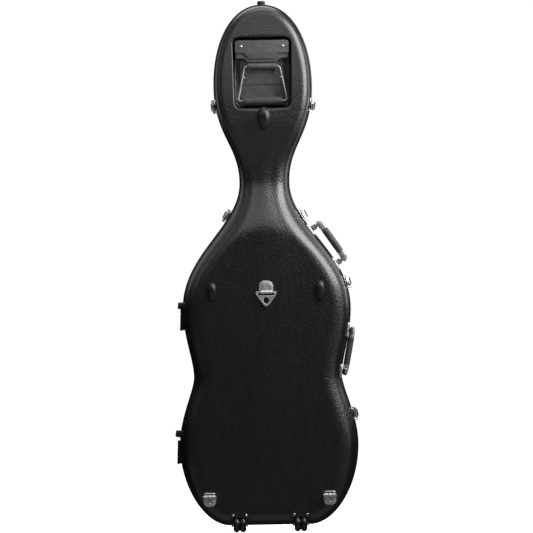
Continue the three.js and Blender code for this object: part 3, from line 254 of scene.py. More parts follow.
class Shape:
    """Closed bodies gathered in millimetres, each face with the number of its finish."""

    def __init__(self):
        self.points, self.faces, self.finishes = [], [], []
        self.count = 0

    def add(self, points, faces, finish=0):
        points = np.asarray(points, float)
        self.points.append(points)
        self.faces.extend(tuple(i + self.count for i in face) for face in faces)
        self.finishes.extend([finish] * len(faces))
        self.count += len(points)
        return self

    def loft(self, rings, ends="flat", finish=0):
        """Strips between rings of equal length; ends are flat, folded or looped."""
        n = len(rings[0])
        faces = []
        last = len(rings) if ends == "looped" else len(rings) - 1
        for j in range(last):
            a, b = j * n, (j + 1) % len(rings) * n
            faces += [(a + i, a + (i + 1) % n, b + (i + 1) % n, b + i) for i in range(n)]
        if ends == "flat":
            faces.append(tuple(range(n))[::-1])
            faces.append(tuple(range((len(rings) - 1) * n, len(rings) * n)))
        return self.add(np.concatenate(rings), faces, finish)

    def box(self, x, y, z, finish=0):
        points = [(a, b, c) for c in z for b in y for a in x]
        faces = [(0, 2, 3, 1), (4, 5, 7, 6), (0, 1, 5, 4), (2, 6, 7, 3), (0, 4, 6, 2),
                 (1, 3, 7, 5)]
        return self.add(points, faces, finish)

    def turned(self, profile, axis="z", sides=40, at=(0, 0, 0), finish=0):
        """A turned body from pairs of radius and place along its axis."""
        turn = full_turn(sides)
        rings = []
        for radius, place in profile:
            a, b = np.cos(turn) * max(radius, 1e-3), np.sin(turn) * max(radius, 1e-3)
            c = np.full(sides, float(place))
            order = {"z": (a, b, c), "x": (c, a, b), "y": (b, c, a)}[axis]
            rings.append(np.column_stack(order) + at)
        looped = profile[0] == profile[-1]
        return self.loft(rings[:-1] if looped else rings, "looped" if looped else "flat", finish)

    def rod(self, axis, radius, low, high, at=(0, 0, 0), sides=32, edge=0.4, finish=0):
        profile = [(radius - edge, low), (radius, low + edge), (radius, high - edge),
                   (radius - edge, high)]
        return self.turned(profile, axis, sides, at, finish)

    def slab(self, outline, y, holes=(), edge=0.4, finish=0):
        """A flat plate in the XZ plane between two values of y, its edges rounded over."""
        curve = bpy.data.curves.new("plate", "CURVE")
        curve.dimensions = "2D"
        curve.fill_mode = "BOTH"
        thickness = abs(y[1] - y[0])
        edge = min(edge, thickness * 0.45)
        curve.extrude = thickness / 2 - edge
        curve.bevel_depth = edge
        curve.bevel_resolution = 2
        curve.offset = -edge
        for loop in (outline, *holes):
            spline = curve.splines.new("POLY")
            spline.points.add(len(loop) - 1)
            for point, (a, b) in zip(spline.points, loop):
                point.co = (a, b, 0, 1)
            spline.use_cyclic_u = True
        holder = linked("plate", curve)
        mesh = baked(holder)
        points = np.array([(v.co.x, v.co.z, v.co.y) for v in mesh.vertices])
        points[:, 1] += (y[0] + y[1]) / 2
        faces = [tuple(p.vertices)[::-1] for p in mesh.polygons]
        bpy.data.meshes.remove(mesh)
        bpy.data.curves.remove(curve)
        return self.add(points, faces, finish)

    def placed(self, matrix):
        """The whole shape moved by a matrix in millimetres."""
        turn = np.array(matrix.to_3x3())
        move = np.array(matrix.translation)
        self.points = [p @ turn.T + move for p in self.points]
        return self

    def mesh(self, name="shape"):
        mesh = bpy.data.meshes.new(name)
        points = np.concatenate(self.points) / 1000
        mesh.from_pydata(points.tolist(), [], self.faces)
        mesh.polygons.foreach_set("material_index", self.finishes)
        tidy(mesh)
        return mesh


def tidy(mesh, distance=2e-6):
    """Merges doubled corners and turns every face outwards."""
    work = bmesh.new()
    work.from_mesh(mesh)
    bmesh.ops.remove_doubles(work, verts=work.verts, dist=distance)
    bmesh.ops.dissolve_degenerate(work, edges=work.edges, dist=distance / 2)
    bmesh.ops.recalc_face_normals(work, faces=work.faces)
    work.to_mesh(mesh)
    work.free()


def linked(name, data):
    holder = bpy.data.objects.new(name, data)
    bpy.context.scene.collection.objects.link(holder)
    return holder


def baked(holder):
    """The evaluated mesh of an object, which is then removed."""
    bpy.context.view_layer.update()
    depsgraph = bpy.context.evaluated_depsgraph_get()
    mesh = bpy.data.meshes.new_from_object(holder.evaluated_get(depsgraph))
    bpy.data.objects.remove(holder)
    return mesh


def cut(mesh, tool, operation="DIFFERENCE"):
    """One closed mesh less another, or what both share."""
    holder, knife = linked("cut", mesh), linked("knife", tool)
    modifier = holder.modifiers.new("cut", "BOOLEAN")
    modifier.operation = operation
    modifier.solver = "MANIFOLD"
    modifier.object = knife
    made = baked(holder)
    bpy.data.objects.remove(knife)
    if not len(made.polygons):
        raise RuntimeError("a cut left nothing")
    return made


def rounded(corners, radii, steps=5):
    """A polygon's outline with its corners rounded, each by its own radius or all by one."""
    points = []
    for i, corner in enumerate(corners):
        radius = radii[i] if isinstance(radii, (list, tuple)) else radii
        here = np.array(corner, float)
        if radius == 0:
            points.append(tuple(here))
            continue
        back = np.array(corners[i - 1], float) - here
        on = np.array(corners[(i + 1) % len(corners)], float) - here
        a = here + back / np.linalg.norm(back) * radius
        b = here + on / np.linalg.norm(on) * radius
        for t in np.linspace(0, 1, steps + 1):
            points.append(tuple((1 - t) ** 2 * a + 2 * t * (1 - t) * here + t * t * b))
    return points


def rectangle(width, height, x=0.0, z=0.0):
    a, b = width / 2, height / 2
    return [(x - a, z - b), (x + a, z - b), (x + a, z + b), (x - a, z + b)]


def piece(name, mesh, body, finish, nodes=(), bevel=0.0, corner=35.0):
    """Makes a finished piece of the case from a mesh and ties it to the frame."""
    mesh.name = name
    mesh.materials.clear()
    mesh.materials.append(finishes()[finish])
    if bevel:
        holder = linked(name, mesh)
        modifier = holder.modifiers.new("edges", "BEVEL")
        modifier.width = bevel / 1000
        modifier.segments = 2
        modifier.limit_method = "ANGLE"
        modifier.angle_limit = math.radians(40)
        modifier.use_clamp_overlap = True
        mesh = baked(holder)
        mesh.name = name
    mesh.shade_smooth()
    mesh.set_sharp_from_angle(angle=math.radians(corner))
    made = linked(name, mesh)
    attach(made, body)
    if nodes:
        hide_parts(*nodes)
    return made


# Finishes

def linear(code):
    """An sRGB hex colour as linear light."""
    parts = [int(code[i:i + 2], 16) / 255 for i in (1, 3, 5)]
    return tuple(v / 12.92 if v <= 0.04045 else ((v + 0.055) / 1.055) ** 2.4 for v in parts)


def shade(colour, share):
    return (*(min(1.0, c * share) for c in colour[:3]), 1.0)


def planted(tree, kind, **values):
    """A node whose options and inputs are set, or linked to a socket, by name."""
    made = tree.nodes.new(kind)
    for name, value in values.items():
        label = name.replace("_", " ")
        if label not in made.inputs:
            setattr(made, name, value)
        elif isinstance(value, bpy.types.NodeSocket):
            tree.links.new(value, made.inputs[label])
        else:
            made.inputs[label].default_value = value
    return made


class Finish:
    """A material under construction: Object coordinates feed its patterns."""

    def __init__(self, name, roughness, metallic=0.0, **sockets):
        self.material = bpy.data.materials.new(name)
        self.material.use_nodes = True
        self.tree = self.material.node_tree
        self.shader = self.tree.nodes["Principled BSDF"]
        self.shader.inputs["Metallic"].default_value = metallic
        self.shader.inputs["Roughness"].default_value = roughness
        for label, value in sockets.items():
            self.shader.inputs[label.replace("_", " ")].default_value = value
        self.place = self.node("ShaderNodeTexCoord").outputs["Object"]
        self.normal = None

    def node(self, kind, **values):
        return planted(self.tree, kind, **values)

    def link(self, source, target):
        self.tree.links.new(source, target)

    def stretched(self, scale):
        mapping = self.node("ShaderNodeMapping", Scale=scale, Vector=self.place)
        return mapping.outputs["Vector"]

    def noise(self, size, detail=3.0, scale=None, distortion=0.0):
        """Noise whose features are about size millimetres wide."""
        made = self.node("ShaderNodeTexNoise", Scale=1000 / size, Detail=detail,
                         Distortion=distortion,
                         Vector=self.stretched(scale) if scale else self.place)
        return made.outputs["Fac"]

    def cells(self, size, smoothness):
        """Rounded cells about size millimetres wide."""
        made = self.node("ShaderNodeTexVoronoi", feature="SMOOTH_F1", Scale=1000 / size,
                         Smoothness=smoothness, Vector=self.place)
        return made.outputs["Distance"]

    def wave(self, size, direction):
        """Bands size millimetres apart, across X, Y or Z."""
        made = self.node("ShaderNodeTexWave", bands_direction=direction,
                         Scale=100 * math.pi / size, Vector=self.place)
        return made.outputs["Fac"]

    def ranged(self, source, low, high, start=0.0, end=1.0):
        made = self.node("ShaderNodeMapRange", From_Min=start, From_Max=end, To_Min=low,
                         To_Max=high, Value=source)
        return made.outputs["Result"]

    def combined(self, a, b, operation="MULTIPLY"):
        made = self.node("ShaderNodeMath", operation=operation)
        for source, socket in zip((a, b), made.inputs):
            if isinstance(source, (int, float)):
                socket.default_value = source
            else:
                self.link(source, socket)
        return made.outputs[0]

    def colours(self, source, *stops):
        """Base colour from a pattern, through pairs of place and colour."""
        ramp = self.node("ShaderNodeValToRGB")
        elements = ramp.color_ramp.elements
        while len(elements) < len(stops):
            elements.new(0.5)
        for element, (place, colour) in zip(elements, stops):
            element.position = place
            element.color = (*colour[:3], 1.0)
        self.link(source, ramp.inputs["Fac"])
        self.link(ramp.outputs["Color"], self.shader.inputs["Base Color"])

    def rough(self, source, low, high, start=0.3, end=0.7):
        self.link(self.ranged(source, low, high, start, end), self.shader.inputs["Roughness"])

    def relief(self, source, height, strength=1.0):
        """Bumps height millimetres tall, laid over any earlier ones."""
        made = self.node("ShaderNodeBump", Distance=height / 1000, Strength=strength,
                         Height=source)
        if self.normal is not None:
            self.link(self.normal, made.inputs["Normal"])
        self.normal = made.outputs["Normal"]
        self.link(self.normal, self.shader.inputs["Normal"])


def pebbled_abs(name, colour, grain):
    """Black moulded ABS: a pebbled skin that breaks highlights into sparkle, faintly scuffed.

    Real pebbles are about 1 mm wide; they are drawn about four times coarser so that they show.
    """
    made = Finish(name, 0.45, IOR=1.55, Coat_Weight=0.5, Coat_Roughness=0.22)
    patches = made.noise(90, 4)
    pebbles = made.cells(grain, 0.55)
    fine = made.noise(grain * 0.55, 2)
    made.colours(patches, (0.3, shade(colour, 0.8)), (0.7, shade(colour, 1.25)))
    scuffs = made.noise(7, 5, (1, 1, 0.12), 0.6)
    made.rough(scuffs, 0.33, 0.43, 0.25, 0.75)
    made.relief(made.noise(26, 2), 0.3, 0.6)
    made.relief(pebbles, grain * 0.16)
    made.relief(fine, grain * 0.1)
    return made.material


def gloss_plastic(name, colour, roughness):
    """Smooth injection-moulded plastic: soft sheen, slight flow ripple and handling marks."""
    made = Finish(name, roughness, IOR=1.5)
    marks = made.noise(14, 5, None, 0.8)
    made.colours(marks, (0.35, shade(colour, 0.85)), (0.75, shade(colour, 1.3)))
    made.rough(marks, roughness * 0.75, roughness * 1.5)
    made.relief(made.noise(9, 2), 0.05)
    made.relief(made.noise(0.7, 2), 0.008)
    return made.material


def anodised_aluminium(name, colour):
    """Black anodised extrusion: draw lines round the rim, satin, rubbed brighter in patches."""
    made = Finish(name, 0.3, 0.85)
    lines = made.noise(0.7, 3, (1, 9, 1))
    patches = made.noise(60, 4)
    made.colours(patches, (0.3, shade(colour, 0.8)), (0.7, shade(colour, 1.3)))
    made.rough(made.combined(lines, patches, "ADD"), 0.2, 0.34, 0.7, 1.3)
    made.relief(lines, 0.02)
    return made.material


def chrome(name, colour):
    """Bright plated steel: near-mirror, with fingerprints and faint polishing swirl."""
    made = Finish(name, 0.1, 1.0)
    prints = made.noise(11, 5, None, 1.2)
    made.colours(prints, (0.3, shade(colour, 0.9)), (0.7, shade(colour, 1.05)))
    made.rough(prints, 0.06, 0.2)
    made.relief(made.noise(4, 3, None, 0.6), 0.03)
    return made.material


def satin_nickel(name, colour):
    """Tumbled nickel plate on stamped steel: soft grey sheen, dull in patches."""
    made = Finish(name, 0.38, 0.85)
    dull = made.noise(8, 5, None, 1.0)
    made.colours(dull, (0.3, shade(colour, 0.85)), (0.7, shade(colour, 1.15)))
    made.rough(dull, 0.34, 0.5)
    made.relief(made.noise(2.4, 3), 0.05)
    return made.material


def satin_plating(name, colour):
    """Satin chrome on handle ends and the bent wire: even grey, with broad highlights."""
    made = Finish(name, 0.5, 0.85)
    dull = made.noise(10, 4, None, 0.6)
    made.colours(dull, (0.3, shade(colour, 0.48)), (0.7, shade(colour, 0.56)))
    made.rough(dull, 0.46, 0.58)
    made.relief(made.noise(3, 2), 0.02)
    return made.material


def coated_steel(name, colour):
    """Powder-coated steel: orange-peel skin with worn, shinier patches."""
    made = Finish(name, 0.35, IOR=1.5)
    peel = made.noise(1.6, 2)
    wear = made.noise(12, 5)
    made.colours(wear, (0.4, shade(colour, 0.9)), (0.8, shade(colour, 1.6)))
    made.rough(wear, 0.24, 0.42)
    made.relief(peel, 0.06)
    return made.material


def rubber(name, colour, roughness=0.7, size=0.8):
    """Moulded rubber: matt, finely stippled, with a dusty bloom."""
    made = Finish(name, roughness, IOR=1.45)
    bloom = made.noise(15, 5)
    made.colours(bloom, (0.35, shade(colour, 0.8)), (0.8, shade(colour, 1.7)))
    made.rough(bloom, roughness * 0.85, min(1.0, roughness * 1.15))
    made.relief(made.noise(size, 3), 0.05)
    return made.material


def plush(name, colour):
    """Short-pile plush over foam: brushed patches of nap, soft edge sheen and fibre noise."""
    made = Finish(name, 0.95, Sheen_Weight=0.55, Sheen_Roughness=0.45, IOR=1.3)
    nap = made.noise(38, 4, (1, 1, 0.6), 0.7)
    fibre = made.noise(0.9, 3)
    mixed = made.combined(made.ranged(nap, 0.0, 0.7), made.ranged(fibre, 0.0, 0.3), "ADD")
    made.colours(mixed, (0.3, shade(colour, 0.6)), (0.62, shade(colour, 1.5)))
    made.relief(nap, 0.7, 0.7)
    made.relief(fibre, 0.35)
    return made.material


def webbing(name, colour, pitch=1.9):
    """Woven strap: ribs across and along that interlace, slightly fuzzy."""
    made = Finish(name, 0.8, Sheen_Weight=0.25, Sheen_Roughness=0.5)
    weave = made.combined(made.wave(pitch, "X"), made.wave(pitch, "Z"))
    made.colours(made.combined(weave, made.noise(6, 4), "ADD"), (0.35, shade(colour, 0.55)),
                 (1.1 / 1.3, shade(colour, 1.5)))
    made.relief(weave, 0.25)
    made.relief(made.noise(0.5, 2), 0.08)
    return made.material


def pale_floor(name, colour):
    """Seamless studio paper: almost even, with a whisper of texture."""
    made = Finish(name, 0.9, IOR=1.3, Emission_Color=(1, 1, 1, 1), Emission_Strength=0.93)
    made.colours(made.noise(700, 3), (0.3, shade(colour, 0.985)), (0.7, shade(colour, 1.0)))
    made.relief(made.noise(2, 2), 0.02)
    return made.material


def finishes():
    """Every finish by name, made once from the chosen colours."""
    if not FINISHES:
        look = bpy.context.scene.cello_case_finish
        FINISHES.update(
            shell=pebbled_abs("pebbled_abs", look.shell_colour, look.grain * 1000),
            bump=gloss_plastic("smooth_abs", shade(look.shell_colour, 2.5), 0.3),
            trim=gloss_plastic("satin_trim_plastic", look.shell_colour, 0.34),
            hood=gloss_plastic("eggshell_abs", look.trim_colour, 0.42),
            aluminium=anodised_aluminium("anodised_aluminium", look.rim_colour),
            chrome=chrome("bright_plating", look.plating_colour),
            nickel=satin_nickel("satin_nickel", look.plating_colour),
            plating=satin_plating("satin_plating", look.plating_colour),
            steel=coated_steel("coated_black_steel", shade(look.shell_colour, 4.0)),
            rubber=rubber("foot_rubber", look.rubber_colour),
            seal=rubber("rim_seal_rubber", look.rubber_colour, 0.5),
            grip=rubber("grip_rubber", look.grip_colour, 0.55, 0.6),
            tyre=gloss_plastic("wheel_urethane", look.rubber_colour, 0.24),
            plush=plush("charcoal_plush", look.plush_colour),
            piping=plush("plush_piping", shade(look.plush_colour, 0.6)),
            webbing=webbing("strap_webbing", look.webbing_colour),
            cloth=webbing("pouch_cloth", look.webbing_colour, 0.9),
            floor=pale_floor("studio_paper", look.floor_colour),
        )
    return FINISHES


FINISHES = {}


# Node trees for what repeats or follows a path

def new_tree(name, sockets):
    tree = bpy.data.node_groups.new(name, "GeometryNodeTree")
    tree.interface.new_socket("Geometry", in_out="INPUT", socket_type="NodeSocketGeometry")
    for label, kind, value in sockets:
        socket = tree.interface.new_socket(label, in_out="INPUT", socket_type="NodeSocket" + kind)
        if value is not None:
            socket.default_value = value
    tree.interface.new_socket("Geometry", in_out="OUTPUT", socket_type="NodeSocketGeometry")
    return tree, tree.nodes.new("NodeGroupInput").outputs, tree.nodes.new("NodeGroupOutput").inputs


def joined(tree, *steps):
    """Links a chain of geometry nodes and gives the last output."""
    source = steps[0]
    for step in steps[1:]:
        target = next(s for s in step.inputs if s.type == "GEOMETRY")
        tree.links.new(source, target)
        source = next(s for s in step.outputs if s.type == "GEOMETRY")
    return source


def closing(tree, source, inputs, output):
    """Realize Instances and Set Material end every tree."""
    real = tree.nodes.new("GeometryNodeRealizeInstances")
    paint = tree.nodes.new("GeometryNodeSetMaterial")
    tree.links.new(inputs["Material"], paint.inputs["Material"])
    tree.links.new(joined(tree, source, real, paint), output[0])


def wire_tree():
    """A round wire along a path of edges."""
    tree, inputs, output = new_tree("wire_along_path", (
        ("Radius", "Float", 0.002), ("Sides", "Int", 16), ("Material", "Material", None)))
    path = planted(tree, "GeometryNodeMeshToCurve", Mesh=inputs["Geometry"])
    section = planted(tree, "GeometryNodeCurvePrimitiveCircle", Radius=inputs["Radius"],
                      Resolution=inputs["Sides"])
    sweep = planted(tree, "GeometryNodeCurveToMesh", Curve=path.outputs["Curve"],
                    Profile_Curve=section.outputs["Curve"], Fill_Caps=True)
    closing(tree, sweep.outputs["Mesh"], inputs, output)
    return tree


def fastener_tree():
    """Copies of one head on every point, facing out and turned by chance."""
    tree, inputs, output = new_tree("heads_on_points", (
        ("Head", "Object", None), ("Width", "Float", 0.007), ("Seed", "Int", 3),
        ("Material", "Material", None)))
    head = planted(tree, "GeometryNodeObjectInfo", Object=inputs["Head"])
    outward = planted(tree, "GeometryNodeInputNamedAttribute", data_type="FLOAT_VECTOR",
                      Name="outward")
    facing = planted(tree, "FunctionNodeAlignRotationToVector", axis="Z",
                     Vector=outward.outputs["Attribute"])
    chance = planted(tree, "FunctionNodeRandomValue", data_type="FLOAT", Max=math.pi,
                     Seed=inputs["Seed"])
    spin = planted(tree, "FunctionNodeAxisAngleToRotation", Axis=(0, 0, 1),
                   Angle=chance.outputs["Value"])
    turn = planted(tree, "FunctionNodeRotateRotation", rotation_space="LOCAL",
                   Rotation=facing.outputs["Rotation"], Rotate_By=spin.outputs["Rotation"])
    copies = planted(tree, "GeometryNodeInstanceOnPoints", Points=inputs["Geometry"],
                     Instance=head.outputs["Geometry"], Rotation=turn.outputs["Rotation"],
                     Scale=inputs["Width"])
    closing(tree, copies.outputs["Instances"], inputs, output)
    return tree


def stitch_tree():
    """Short thread stitches laid along a path."""
    tree, inputs, output = new_tree("stitches_along_path", (
        ("Pitch", "Float", 0.006), ("Length", "Float", 0.004), ("Thread", "Float", 0.0009),
        ("Material", "Material", None)))
    path = planted(tree, "GeometryNodeMeshToCurve", Mesh=inputs["Geometry"])
    spots = planted(tree, "GeometryNodeCurveToPoints", mode="LENGTH",
                    Curve=path.outputs["Curve"], Length=inputs["Pitch"])
    bead = planted(tree, "GeometryNodeMeshUVSphere", Segments=8, Rings=5, Radius=0.5)
    size = planted(tree, "ShaderNodeCombineXYZ", X=inputs["Thread"], Y=inputs["Thread"],
                   Z=inputs["Length"])
    copies = planted(tree, "GeometryNodeInstanceOnPoints", Points=spots.outputs["Points"],
                     Rotation=spots.outputs["Rotation"], Instance=bead.outputs["Mesh"],
                     Scale=size.outputs["Vector"])
    closing(tree, copies.outputs["Instances"], inputs, output)
    return tree


def rib_tree():
    """Evenly spaced rings along Z, such as the ribs of a grip."""
    tree, inputs, output = new_tree("ribs_on_grip", (
        ("Count", "Int", 10), ("Spacing", "Float", 0.005), ("Radius", "Float", 0.008),
        ("Wire", "Float", 0.0008), ("Material", "Material", None)))
    step = planted(tree, "ShaderNodeCombineXYZ", Z=inputs["Spacing"])
    line = planted(tree, "GeometryNodeMeshLine", Count=inputs["Count"],
                   Offset=step.outputs["Vector"])
    ring = planted(tree, "GeometryNodeCurvePrimitiveCircle", Resolution=40,
                   Radius=inputs["Radius"])
    section = planted(tree, "GeometryNodeCurvePrimitiveCircle", Resolution=10,
                      Radius=inputs["Wire"])
    sweep = planted(tree, "GeometryNodeCurveToMesh", Curve=ring.outputs["Curve"],
                    Profile_Curve=section.outputs["Curve"])
    copies = planted(tree, "GeometryNodeInstanceOnPoints", Points=line.outputs["Mesh"],
                     Instance=sweep.outputs["Mesh"])
    closing(tree, copies.outputs["Instances"], inputs, output)
    return tree


TREES = {}


def grown(kind, mesh, **values):
    """The plain mesh that a node tree makes from a path or points."""
    makers = {"wire": wire_tree, "heads": fastener_tree, "stitches": stitch_tree, "ribs": rib_tree}
    if kind not in TREES:
        TREES[kind] = makers[kind]()
    tree = TREES[kind]
    holder = linked(kind, mesh)
    modifier = holder.modifiers.new(kind, "NODES")
    modifier.node_group = tree
    for item in tree.interface.items_tree:
        if item.item_type == "SOCKET" and item.in_out == "INPUT" and item.name in values:
            modifier[item.identifier] = values[item.name]
    made = baked(holder)
    if not len(made.polygons):
        raise RuntimeError(f"{kind} made nothing")
    tidy(made)
    return made


def path_mesh(points, closed=False, matrix=None):
    """A path of edges in metres from points in millimetres."""
    points = [Vector(p) for p in points]
    if matrix is not None:
        points = [matrix @ p for p in points]
    mesh = bpy.data.meshes.new("path")
    edges = [(i, i + 1) for i in range(len(points) - 1)]
    if closed:
        edges.append((len(points) - 1, 0))
    mesh.from_pydata([p / 1000 for p in points], edges, [])
    return mesh


def wire(name, points, radius, body, finish, nodes=(), closed=False, matrix=None, sides=16):
    mesh = grown("wire", path_mesh(points, closed, matrix), Radius=radius / 1000, Sides=sides,
                 Material=finishes()[finish])
    return piece(name, mesh, body, finish, nodes, corner=50)


def stitches(name, points, body, closed=False, matrix=None):
    hardware = bpy.context.scene.cello_case_hardware
    mesh = grown("stitches", path_mesh(points, closed, matrix), Pitch=hardware.stitch_pitch,
                 Length=hardware.stitch_pitch * 0.68, Thread=hardware.stitch_pitch * 0.2,
                 Material=finishes()["webbing"])
    return piece(name, mesh, body, "webbing")


def head_mesh(kind):
    """One screw or rivet head, one metre wide so that it scales by its width, its seat at z 0."""
    head = Shape()
    tall = 0.3 if kind == "screw" else 0.24
    dome = [(500 * math.cos(a) ** 0.8, 50 + (tall * 1000 - 50) * math.sin(a))
            for a in np.linspace(0, math.pi / 2 * 0.98, 6)]
    mesh = head.turned([(500, -200), (500, 50), *dome[1:]], sides=24).mesh(kind)
    if kind == "screw":
        for a, b in ((340, 65), (65, 340)):
            slot = Shape().box((-a, a), (-b, b), (tall * 1000 - 140, tall * 1000 + 200))
            mesh = cut(mesh, slot.mesh())
    return mesh


def heads(name, kind, places, width, body, finish):
    """Screws or rivets at pairs of place and outward direction, in millimetres."""
    mesh = bpy.data.meshes.new("places")
    mesh.from_pydata([Vector(p) / 1000 for p, _ in places], [], [])
    outward = mesh.attributes.new("outward", "FLOAT_VECTOR", "POINT")
    outward.data.foreach_set("vector", np.array([tuple(d) for _, d in places]).ravel())
    head = linked(kind + "_head", head_mesh(kind))
    made = grown("heads", mesh, Head=head, Width=width / 1000, Seed=len(places),
                 Material=finishes()[finish])
    bpy.data.objects.remove(head)
    return piece(name, made, body, finish)


def screws(name, places, width):
    """Bright screws in the back half, or in what is fixed to it."""
    heads(name, "screw", places, width, "back", "chrome")


# Shells, linings and rims

def half_form(side, skin, start, arc_steps, face_steps):
    """One half of the case as a closed solid, its surface moved inwards by skin."""
    return Shape().loft(form_rings(side, skin, start, arc_steps, face_steps), "folded").mesh()


def recess_cutter(growth, flare=0.0):
    """The pull handle's recess as a solid, its mouth rounded over by flare."""
    width, height = RECESS_WIDTH + growth * 2, RECESS_HEIGHT + growth * 2
    face = face_y(BACK, 0, RECESS_Z)

    def ring(shrink, y, follow=False):
        corner = max(21 + growth - shrink * 0.5, 3)
        loop = np.array(rounded(rectangle(width - shrink * 2, height - shrink * 2), corner, 8))
        z = loop[:, 1] + RECESS_Z
        level = surface_y(BACK, loop[:, 0], z) if follow else face
        x = loop[:, 0] * (1 + 0.04 * (z - RECESS_Z) / RECESS_HEIGHT)
        return np.column_stack([x, level + y + 0 * z, z])

    rings = []
    if flare:
        start = math.radians(20)
        for t in (start, *np.radians((38, 56, 74))):
            rings.append(ring(-flare * (1 - math.sin(t)) - 0.4, flare * (1 - math.cos(t)), True))
        reach = 5.0
        wide = -flare * (1 - math.sin(start)) - 0.4 - reach * math.cos(start)
        rings.insert(0, ring(wide, flare * (1 - math.cos(start)) - reach * math.sin(start), True))
        rings.insert(0, ring(wide, -26))
        rings.append(ring(-0.4, flare, True))
    else:
        rings.append(ring(-2, -19))
    floor = RECESS_DEPTH + growth
    rings += [ring(3.0, floor - 3), ring(4.0, floor - 0.9), ring(5.4, floor)]
    return Shape().loft(rings).mesh()


def pocket_cutter(side, growth):
    """The space round a wheel, its inner corners rounded."""
    half = 21.6 + growth
    x = side * WHEEL_X
    outline = rounded([(x - half, 6), (x + half, 6), (x + half, 42 + growth),
                       (x - half, 42 + growth)], [0, 0, 5, 5], 5)
    return Shape().slab(outline, (BACK_Y - 8, BACK_Y + 26 + growth), edge=0.01).mesh()


def hollow(side, outer_skin, inner_skin, drop, flare=0.0):
    """A wall that follows one half of the case and wraps the spaces let into it."""
    outside = half_form(side, outer_skin, drop, 14, 26)
    inside = half_form(side, inner_skin, drop - 6, 8, 14)
    if side == BACK:
        tools = [(recess_cutter(outer_skin, flare), recess_cutter(inner_skin))]
        tools += [(pocket_cutter(way, outer_skin), pocket_cutter(way, inner_skin))
                  for way in (LEFT, RIGHT)]
        for outer_tool, inner_tool in tools:
            outside = cut(outside, outer_tool)
            inside = cut(inside, inner_tool)
    return cut(outside, inside)


def teardrop(width, length, height, x, z):
    """A moulded resting bump: a domed drop, highest near its top, that runs out below."""
    turn = full_turn(72)
    u, v = np.cos(turn), np.sin(turn)
    u = u * (1 + 0.12 * v)
    steps = [(1.03, -2.5), (1.03, 0.1), (1.0, 0.6)]
    steps += [(math.cos(a) ** 0.85, 0.6 + (height - 0.6) * math.sin(a))
              for a in np.linspace(0, math.pi / 2 * 0.985, 14)[1:]]
    rings = []
    for share, rise in steps:
        px = x + u * share * width / 2
        pz = z + (v * share + 0.3 * (1 - share)) * length / 2
        rings.append(np.column_stack([px, surface_y(BACK, px, pz) - rise, pz]))
    return Shape().loft(rings)


def make_shells():
    for name, side, flare in (("back", BACK, 2.6), ("lid", LID, 0.0)):
        mesh = hollow(side, 0.0, SHELL_WALL, SHELL_START, flare)
        piece(name + "_moulding", mesh, name, "shell", [name + "_shell"])
    for label, x, z, width, length, height in BUMPS:
        bump = teardrop(width, length, height, x, z)
        piece("resting_bump_" + label, bump.mesh(), "back", "bump")


def rim_rings(profile, side, loop=OUTLINE):
    """Rings round the outline from pairs of inset and depth."""
    x, z, nx, nz = loop.T
    return [np.column_stack([x - nx * inset, 0 * x + RIM_Y + side * depth, z - nz * inset])
            for inset, depth in profile]


def make_rims():
    profile = [(-1.5, 0.25), (-2.0, 0.75), (-2.1, 1.6), (-2.1, 11.9), (-1.9, 12.7), (-1.3, 13.0),
               (-0.6, 12.9), (-0.3, 12.4), (-0.3, 2.05), (4.04, 2.05), (4.04, 10.5), (4.3, 10.9),
               (5.1, 11.0), (5.7, 10.7), (5.84, 10.2), (5.84, 0.9), (5.6, 0.4), (5.2, 0.25)]
    for name, side in (("back", BACK), ("lid", LID)):
        mesh = Shape().loft(rim_rings(profile, side), "looped").mesh()
        piece(name + "_rim", mesh, name, "aluminium", [name + "_valance"],
              corner=28)
    bead = rim_rings([(-1.75, 0.0)], BACK)[0]
    wire("rim_seal", bead, 0.95, "back", "seal", closed=True, sides=10)


def make_linings():
    for name, side in (("back", BACK), ("lid", LID)):
        mesh = hollow(side, LINING_SKIN, LINING_SKIN + LINING_THICK, 14)
        piece(name + "_padding", mesh, name, "plush", [name + "_lining"],
              corner=50)
        edge = rim_rings([(LINING_SKIN + 4.2, 15.5)], side)[0]
        wire(name + "_padding_piping", edge, 3.4, name, "piping", closed=True, sides=12)


# Pull handle

